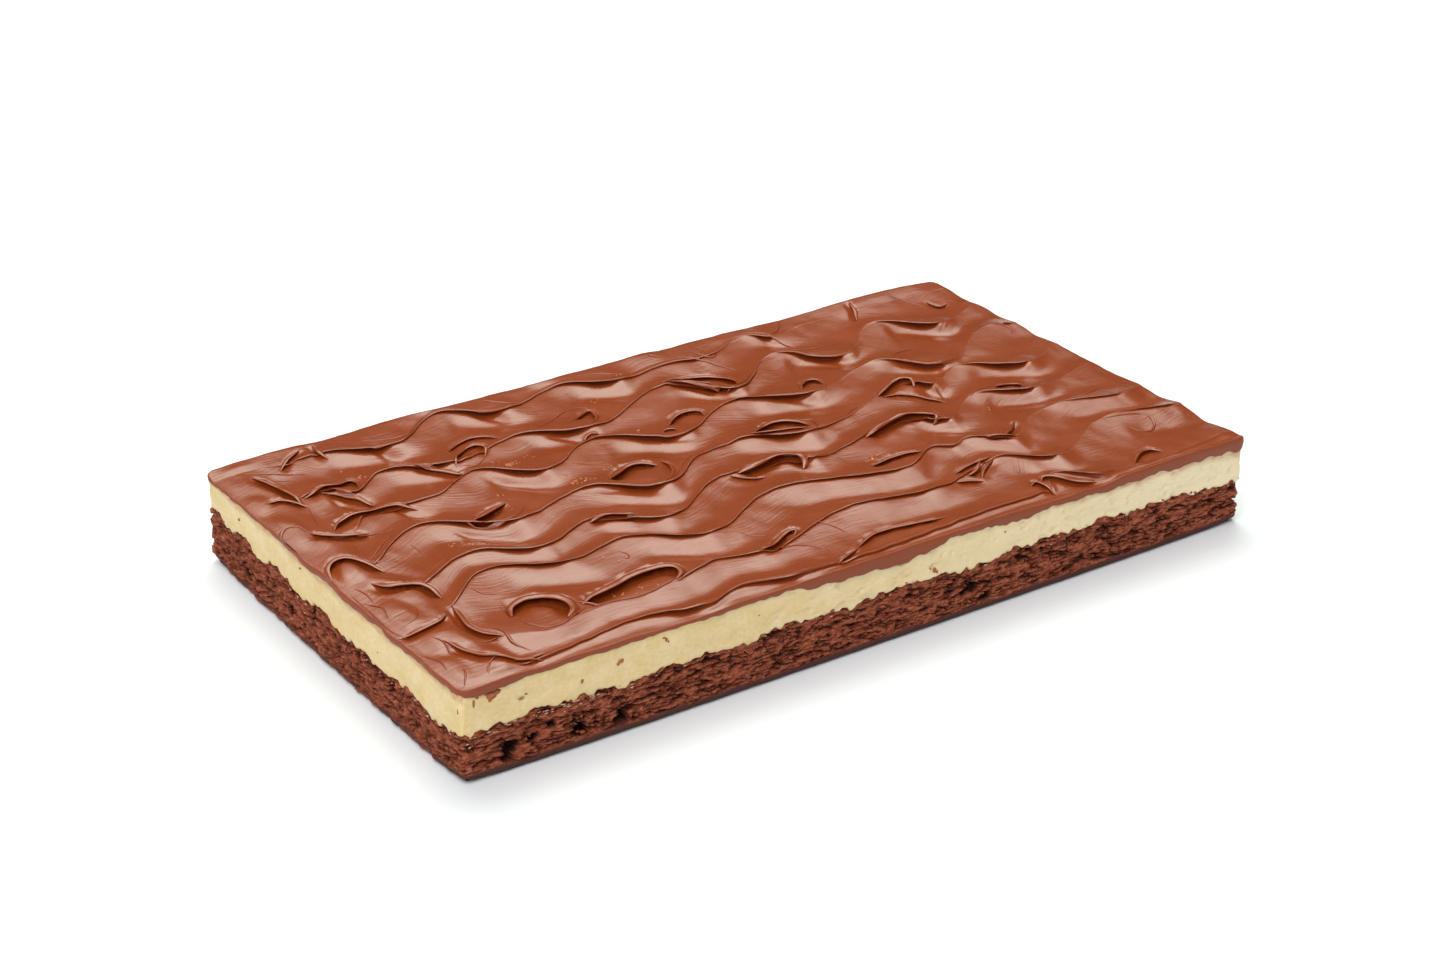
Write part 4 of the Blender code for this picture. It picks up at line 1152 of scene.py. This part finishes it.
def build_specks(settings):
    """Set the smeared crumbs into the cut cream, a little proud of it."""
    places, sizes = [], []
    for along, height, half, half_height in SPECKS_FRONT:
        places.append((along, -HALF_Y + 0.15, height))
        sizes.append((half, 0.35, half_height))
    for along, height, half, half_height in SPECKS_LEFT:
        places.append((-HALF_X + 0.15, along, height))
        sizes.append((0.35, half, half_height))
    material = smeared("sponge_crumb_smeared", settings.speck, settings.speck_pale)
    return lump_piece("cream_specks_smeared", places, sizes, SPECK_SHAPES_SEED, material, "cake_crumb",
                      turned=False)


def build_bits(settings):
    """Scatter little bits of cream that the knife dragged down onto the crumb."""
    places_seed, shapes_seed = BIT_SEEDS
    draw = np.random.RandomState(places_seed)
    places, sizes = [], []
    for _ in range(settings.bit_count):
        near_corner = draw.rand() < 0.75
        along = BITS_FROM + BITS_SPAN * draw.rand() if near_corner else draw.uniform(-HALF_X, HALF_X)
        drop = draw.exponential(1.1) + 0.5
        out = draw.uniform(0, 0.5) - 0.15
        half = draw.uniform(*BIT_HALF)
        length = half * draw.uniform(*BIT_LONG)
        if draw.rand() < 0.25:
            y = draw.uniform(-HALF_Y, 0.8 * HALF_Y)
            places.append((-HALF_X + out, y, float(CAKE_PROFILES[1](y)) - drop))
            sizes.append((half * 0.6, length, half * 0.6))
        else:
            places.append((along, -HALF_Y + out, float(CAKE_PROFILES[0](along)) - drop))
            sizes.append((length, half * 0.6, half * 0.6))
    material = smeared("cream_smeared_thin", settings.bit, settings.bit_pale)
    return lump_piece("cream_bits_dragged", places, sizes, shapes_seed, material, "cream_filling",
                      turned=False)


# ---- Materials ----

def fill_sockets(tree, node, inputs):
    """Fill sockets of a node with values, or link them to other nodes' sockets."""
    for key, value in inputs.items():
        if isinstance(value, bpy.types.NodeSocket):
            tree.links.new(value, node.inputs[key])
        else:
            node.inputs[key].default_value = value


def add_node(tree, kind, inputs=None, **settings):
    """Add a node, set what is given by name, and fill or link its sockets."""
    node = tree.nodes.new(kind)
    for key, value in settings.items():
        setattr(node, key, value)
    fill_sockets(tree, node, inputs or {})
    return node


def new_material(name):
    """Return an empty material with its node tree, its surface shader and its output linked."""
    material = bpy.data.materials.new(name)
    material.use_nodes = True
    tree = material.node_tree
    tree.nodes.clear()
    surface = add_node(tree, "ShaderNodeBsdfPrincipled")
    add_node(tree, "ShaderNodeOutputMaterial", {"Surface": surface.outputs["BSDF"]})
    return material, tree, surface


def object_point(tree, size, height=None):
    """Return the object coordinate, divided by a size in millimetres that may differ up and down."""
    place = add_node(tree, "ShaderNodeTexCoord")
    scale = (1 / (size * MM), 1 / (size * MM), 1 / ((height or size) * MM))
    scaled = add_node(tree, "ShaderNodeVectorMath", {0: place.outputs["Object"], 1: scale},
                      operation="MULTIPLY")
    return scaled.outputs["Vector"]


def spread_milk_chocolate():
    """Milk chocolate, spread with a palette knife: satin gloss, faint drag marks, duller where cut."""
    known = bpy.data.materials.get("milk_chocolate_knife_spread")
    if known:
        return known
    settings = bpy.context.scene.brownie_icing
    material, tree, surface = new_material("milk_chocolate_knife_spread")
    patches = add_node(tree, "ShaderNodeTexNoise", {"Vector": object_point(tree, CHOCOLATE_PATCH),
                                                   "Scale": 1.0, "Detail": 3.0, "Roughness": 0.55})
    brown = add_node(tree, "ShaderNodeMix", {0: patches.outputs["Fac"], 6: settings.deep,
                                            7: settings.brown}, data_type="RGBA")
    along = add_node(tree, "ShaderNodeAttribute", attribute_name="stroke_along")
    across = add_node(tree, "ShaderNodeAttribute", attribute_name="stroke_across")
    stroke = add_node(tree, "ShaderNodeCombineXYZ", {"X": along.outputs["Fac"], "Y": across.outputs["Fac"]})
    stretched = add_node(tree, "ShaderNodeMapping", {"Vector": stroke.outputs["Vector"],
                                                    "Rotation": (0, 0, DRAG_SLANT),
                                                    "Scale": (1 / DRAG_LENGTH, 1 / DRAG_SPACING, 1.0)})
    drag = add_node(tree, "ShaderNodeTexNoise", {"Vector": stretched.outputs["Vector"], "Scale": 1.0,
                                                "Detail": 3.0, "Roughness": 0.5})
    drag_bump = add_node(tree, "ShaderNodeBump", {"Height": drag.outputs["Fac"], "Strength": 0.6,
                                                 "Distance": DRAG_DEPTH * MM})
    dimples = add_node(tree, "ShaderNodeTexNoise", {"Vector": object_point(tree, DIMPLE_SIZE), "Scale": 1.0,
                                                   "Detail": 4.0})
    bump = add_node(tree, "ShaderNodeBump", {"Height": dimples.outputs["Fac"], "Strength": 0.25,
                                            "Distance": DIMPLE_DEPTH * MM,
                                            "Normal": drag_bump.outputs["Normal"]})
    gloss = add_node(tree, "ShaderNodeMapRange", {"Value": patches.outputs["Fac"], "From Min": 0.3,
                                                 "From Max": 0.7, "To Min": 0.2, "To Max": 0.28})
    cut = add_node(tree, "ShaderNodeAttribute", attribute_name="cut")
    dulled = add_node(tree, "ShaderNodeMath", {0: cut.outputs["Fac"], 1: 0.35, 2: gloss.outputs["Result"]},
                      operation="MULTIPLY_ADD")
    fill_sockets(tree, surface, {"Base Color": brown.outputs[2], "Normal": bump.outputs["Normal"],
                                 "Roughness": dulled.outputs["Value"], "IOR": 1.48})
    return material


def smeared(name, dark, pale, roughness=0.5):
    """Crumb, cream or chocolate smeared by the knife: damp, dark in places, paler where thin; on nubs,
    painted highlight.
    """
    material, tree, surface = new_material(name)
    grains = add_node(tree, "ShaderNodeTexNoise", {"Vector": object_point(tree, SMEAR_GRAIN), "Scale": 1.0,
                                                  "Detail": 3.0})
    colour = add_node(tree, "ShaderNodeMix", {0: grains.outputs["Fac"], 6: dark, 7: pale}, data_type="RGBA")
    fill_sockets(tree, surface, {"Base Color": colour.outputs[2], "Roughness": roughness, "IOR": 1.42})
    return material


def cut_cream():
    """Butter cream, cut with a knife: soft satin, a little light goes in, faint warmer patches."""
    settings = bpy.context.scene.brownie_cream
    material, tree, surface = new_material("butter_cream_knife_cut")
    patches = add_node(tree, "ShaderNodeTexNoise", {"Vector": object_point(tree, CREAM_PATCH), "Scale": 1.0,
                                                   "Detail": 4.0, "Roughness": 0.6})
    fine = add_node(tree, "ShaderNodeTexNoise", {"Vector": object_point(tree, *CREAM_GRAIN), "Scale": 1.0,
                                                "Detail": 6.0, "Roughness": 0.62})
    mixed = add_node(tree, "ShaderNodeMix", {0: 0.45, 2: patches.outputs["Fac"], 3: fine.outputs["Fac"]})
    tone = add_node(tree, "ShaderNodeMapRange", {"Value": mixed.outputs[0], "From Min": 0.38,
                                                "From Max": 0.66})
    colour = add_node(tree, "ShaderNodeMix", {0: tone.outputs["Result"], 6: settings.pale,
                                             7: settings.yolk}, data_type="RGBA")
    place = add_node(tree, "ShaderNodeTexCoord")
    along = add_node(tree, "ShaderNodeSeparateXYZ", {0: place.outputs["Object"]})
    paler = add_node(tree, "ShaderNodeMapRange", {"Value": along.outputs["X"], "From Min": PALER_FROM * MM,
                                                 "From Max": PALER_TO * MM, "To Max": 0.85})
    toned = add_node(tree, "ShaderNodeMix", {0: paler.outputs["Result"], 6: colour.outputs[2],
                                            7: settings.light}, data_type="RGBA")
    smear = add_node(tree, "ShaderNodeAttribute", attribute_name="smear")
    stained = add_node(tree, "ShaderNodeMix", {0: smear.outputs["Fac"], 6: toned.outputs[2],
                                              7: settings.smear}, data_type="RGBA")
    bump = add_node(tree, "ShaderNodeBump", {"Height": fine.outputs["Fac"], "Strength": 0.7,
                                            "Distance": CREAM_DEPTH * MM})
    fill_sockets(tree, surface, {"Base Color": stained.outputs[2], "Normal": bump.outputs["Normal"],
                                 "Roughness": 0.5, "IOR": 1.45, "Subsurface Weight": 0.12,
                                 "Subsurface Radius": (1.0, 0.75, 0.35), "Subsurface Scale": 2.5 * MM})
    return material


def open_crumb():
    """Chocolate sponge, torn by the knife: matt, with painted shade between flakes and in holes, smooth
    where it lay on the tray.
    """
    known = bpy.data.materials.get("chocolate_sponge_open_crumb")
    if known:
        return known
    settings = bpy.context.scene.brownie_cake
    material, tree, surface = new_material("chocolate_sponge_open_crumb")
    grains = add_node(tree, "ShaderNodeTexNoise", {"Vector": object_point(tree, *FLAKE_SIZE), "Scale": 1.0,
                                                  "Detail": 6.0, "Roughness": 0.7})
    tone = add_node(tree, "ShaderNodeMapRange", {"Value": grains.outputs["Fac"], "From Min": 0.38,
                                                "From Max": 0.64})
    crumb = add_node(tree, "ShaderNodeMix", {0: tone.outputs["Result"], 6: settings.dark,
                                            7: settings.light}, data_type="RGBA")
    # Painted shade: gaps, pores and holes are mixed toward the near-black gap colour.
    hollow = add_node(tree, "ShaderNodeAttribute", attribute_name="hollow")
    deep = add_node(tree, "ShaderNodeMix", {0: hollow.outputs["Fac"], 6: crumb.outputs[2],
                                           7: settings.deep}, data_type="RGBA")
    crust = add_node(tree, "ShaderNodeAttribute", attribute_name="crust")
    colour = add_node(tree, "ShaderNodeMix", {0: crust.outputs["Fac"], 6: deep.outputs[2],
                                             7: settings.crust}, data_type="RGBA")
    pores = add_node(tree, "ShaderNodeTexVoronoi", {"Vector": object_point(tree, *PORE_SIZE), "Scale": 1.0})
    fine = add_node(tree, "ShaderNodeTexNoise", {"Vector": object_point(tree, *CRUMB_GRAIN), "Scale": 1.0,
                                                "Detail": 4.0, "Roughness": 0.7})
    coarse = add_node(tree, "ShaderNodeMath", {0: pores.outputs["Distance"], 1: grains.outputs["Fac"]})
    both = add_node(tree, "ShaderNodeMath", {0: coarse.outputs["Value"], 1: fine.outputs["Fac"]})
    rough = add_node(tree, "ShaderNodeMapRange", {"Value": crust.outputs["Fac"], "To Min": 1.0,
                                                 "To Max": 0.15})
    bump = add_node(tree, "ShaderNodeBump", {"Height": both.outputs["Value"], "Distance": CRUMB_DEPTH * MM,
                                            "Strength": rough.outputs["Result"]})
    fill_sockets(tree, surface, {"Base Color": colour.outputs[2], "Normal": bump.outputs["Normal"],
                                 "Roughness": 0.85, "IOR": 1.3})
    return material


def floor_card():
    """Painted studio card, rolled on: plain, matt and pale. Far from the slab it glows white."""
    settings = bpy.context.scene.brownie_stage
    material, tree, surface = new_material("painted_card_matt")
    place = add_node(tree, "ShaderNodeTexCoord")
    distance = add_node(tree, "ShaderNodeVectorMath", {0: place.outputs["Object"]}, operation="LENGTH")
    glow = add_node(tree, "ShaderNodeMapRange", {"Value": distance.outputs["Value"], "From Min": GLOW_FROM,
                                                "From Max": GLOW_FULL, "To Max": 1.0})
    fill_sockets(tree, surface, {"Base Color": settings.floor, "Roughness": 0.9, "Specular IOR Level": 0.1,
                                 "Emission Strength": glow.outputs["Result"],
                                 "Emission Color": (1, 1, 1, 1)})
    return material


# ---- Stage ----

def add_camera():
    """Set the camera at the photograph's angle."""
    azimuth = math.radians(CAMERA_AZIMUTH)
    elevation = math.radians(CAMERA_ELEVATION)
    roll = math.radians(CAMERA_ROLL)
    back = Vector((math.sin(azimuth) * math.cos(elevation), -math.cos(azimuth) * math.cos(elevation),
                   math.sin(elevation)))
    level = (-back).cross(Vector((0, 0, 1))).normalized()
    upright = level.cross(-back)
    right = level * math.cos(roll) + upright * math.sin(roll)
    up = upright * math.cos(roll) - level * math.sin(roll)
    camera = bpy.data.objects.new("camera", bpy.data.cameras.new("camera"))
    turn = Matrix((right, up, back)).transposed().to_4x4()
    place = (Vector(CAMERA_TARGET) + back * CAMERA_DISTANCE) * MM
    camera.matrix_world = Matrix.Translation(place) @ turn
    camera.data.lens = CAMERA_LENS
    camera.data.sensor_width = CAMERA_SENSOR
    camera.data.clip_end = CAMERA_REACH
    bpy.context.scene.collection.objects.link(camera)
    bpy.context.scene.camera = camera


def add_softbox(name, colour, place, width, height, watts):
    """Hang a rectangular soft light that faces the slab."""
    lamp = bpy.data.lights.new(name, "AREA")
    lamp.shape = "RECTANGLE"
    lamp.size = width
    lamp.size_y = height
    lamp.energy = watts
    lamp.color = colour[:3]
    box = bpy.data.objects.new(name, lamp)
    box.location = place
    box.rotation_euler = (-Vector(place)).to_track_quat("-Z", "Y").to_euler()
    bpy.context.scene.collection.objects.link(box)


def studio_room(settings):
    """Return a dim room that is paler behind the viewer's side of the slab and overhead."""
    world = bpy.data.worlds.new("studio")
    world.use_nodes = True
    tree = world.node_tree
    way = add_node(tree, "ShaderNodeTexCoord")
    side = add_node(tree, "ShaderNodeVectorMath", {0: way.outputs["Generated"], 1: ROOM_PALE_SIDE},
                    operation="DOT_PRODUCT")
    strength = add_node(tree, "ShaderNodeMapRange", {"Value": side.outputs["Value"], "From Min": -0.4,
                                                    "To Min": settings.room / 5, "To Max": settings.room})
    fill_sockets(tree, tree.nodes["Background"], {"Strength": strength.outputs["Result"],
                                                  "Color": (1, 1, 1, 1)})
    return world


def build_stage(settings):
    """Add the pale floor, the soft light and the camera."""
    mesh = bpy.data.meshes.new("floor")
    corners = [(x * FLOOR_REACH, y * FLOOR_REACH, 0) for x, y in ((-1, -1), (1, -1), (1, 1), (-1, 1))]
    mesh.from_pydata(corners, [], [(0, 1, 2, 3)])
    mesh.materials.append(floor_card())
    floor = bpy.data.objects.new("floor", mesh)
    bpy.context.scene.collection.objects.link(floor)
    bpy.context.scene.world = studio_room(settings)
    for name, colour, *size in SOFTBOXES:
        add_softbox(name, getattr(settings, colour), *size)
    add_camera()
    bpy.context.scene.view_settings.view_transform = "Standard"


# ---- Operators and panel ----

class BROWNIE_OT_icing(bpy.types.Operator):
    """Make the milk-chocolate icing"""
    bl_idname = "brownie.icing"
    bl_label = "Icing"

    def execute(self, context):
        build_icing(context.scene.brownie_icing)
        build_folds(context.scene.brownie_icing)
        build_nubs(context.scene.brownie_icing)
        return {"FINISHED"}


class BROWNIE_OT_cream(bpy.types.Operator):
    """Make the cream filling"""
    bl_idname = "brownie.cream"
    bl_label = "Cream"

    def execute(self, context):
        build_cream(context.scene.brownie_cream)
        build_specks(context.scene.brownie_cream)
        build_bits(context.scene.brownie_cream)
        return {"FINISHED"}


class BROWNIE_OT_cake(bpy.types.Operator):
    """Make the cake layer"""
    bl_idname = "brownie.cake"
    bl_label = "Cake"

    def execute(self, context):
        build_cake(context.scene.brownie_cake)
        return {"FINISHED"}


class BROWNIE_OT_crumbs(bpy.types.Operator):
    """Scatter loose crumbs"""
    bl_idname = "brownie.crumbs"
    bl_label = "Crumbs"

    def execute(self, context):
        build_crumbs(context.scene.brownie_cake)
        return {"FINISHED"}


class BROWNIE_OT_stage(bpy.types.Operator):
    """Add the floor, the light and the camera"""
    bl_idname = "brownie.stage"
    bl_label = "Stage"

    def execute(self, context):
        build_stage(context.scene.brownie_stage)
        return {"FINISHED"}


class BROWNIE_PT_panel(bpy.types.Panel):
    """Buttons for the slab's pieces"""
    bl_idname = "BROWNIE_PT_panel"
    bl_label = "Brownie slab"
    bl_space_type = "VIEW_3D"
    bl_region_type = "UI"
    bl_category = "Brownie"

    def draw(self, context):
        for operator in OPERATORS:
            self.layout.operator(operator.bl_idname)


OPERATORS = (BROWNIE_OT_stage, BROWNIE_OT_cake, BROWNIE_OT_cream, BROWNIE_OT_icing, BROWNIE_OT_crumbs)
SETTINGS = {"brownie_icing": IcingSettings, "brownie_cream": CreamSettings, "brownie_cake": CakeSettings,
            "brownie_stage": StageSettings}


def register():
    """Register the classes and hang the settings on the scene."""
    for group in (*SETTINGS.values(), *OPERATORS, BROWNIE_PT_panel):
        bpy.utils.register_class(group)
    for name, group in SETTINGS.items():
        setattr(bpy.types.Scene, name, PointerProperty(type=group))


def unregister():
    """Take the settings and the classes away again."""
    for name in SETTINGS:
        delattr(bpy.types.Scene, name)
    for group in (BROWNIE_PT_panel, *reversed(OPERATORS), *reversed(list(SETTINGS.values()))):
        bpy.utils.unregister_class(group)


def main():
    """Make every piece and the stage."""
    register()
    bpy.ops.brownie.stage()
    bpy.ops.brownie.cake()
    bpy.ops.brownie.cream()
    bpy.ops.brownie.icing()
    bpy.ops.brownie.crumbs()


if __name__ == "__main__":
    main()
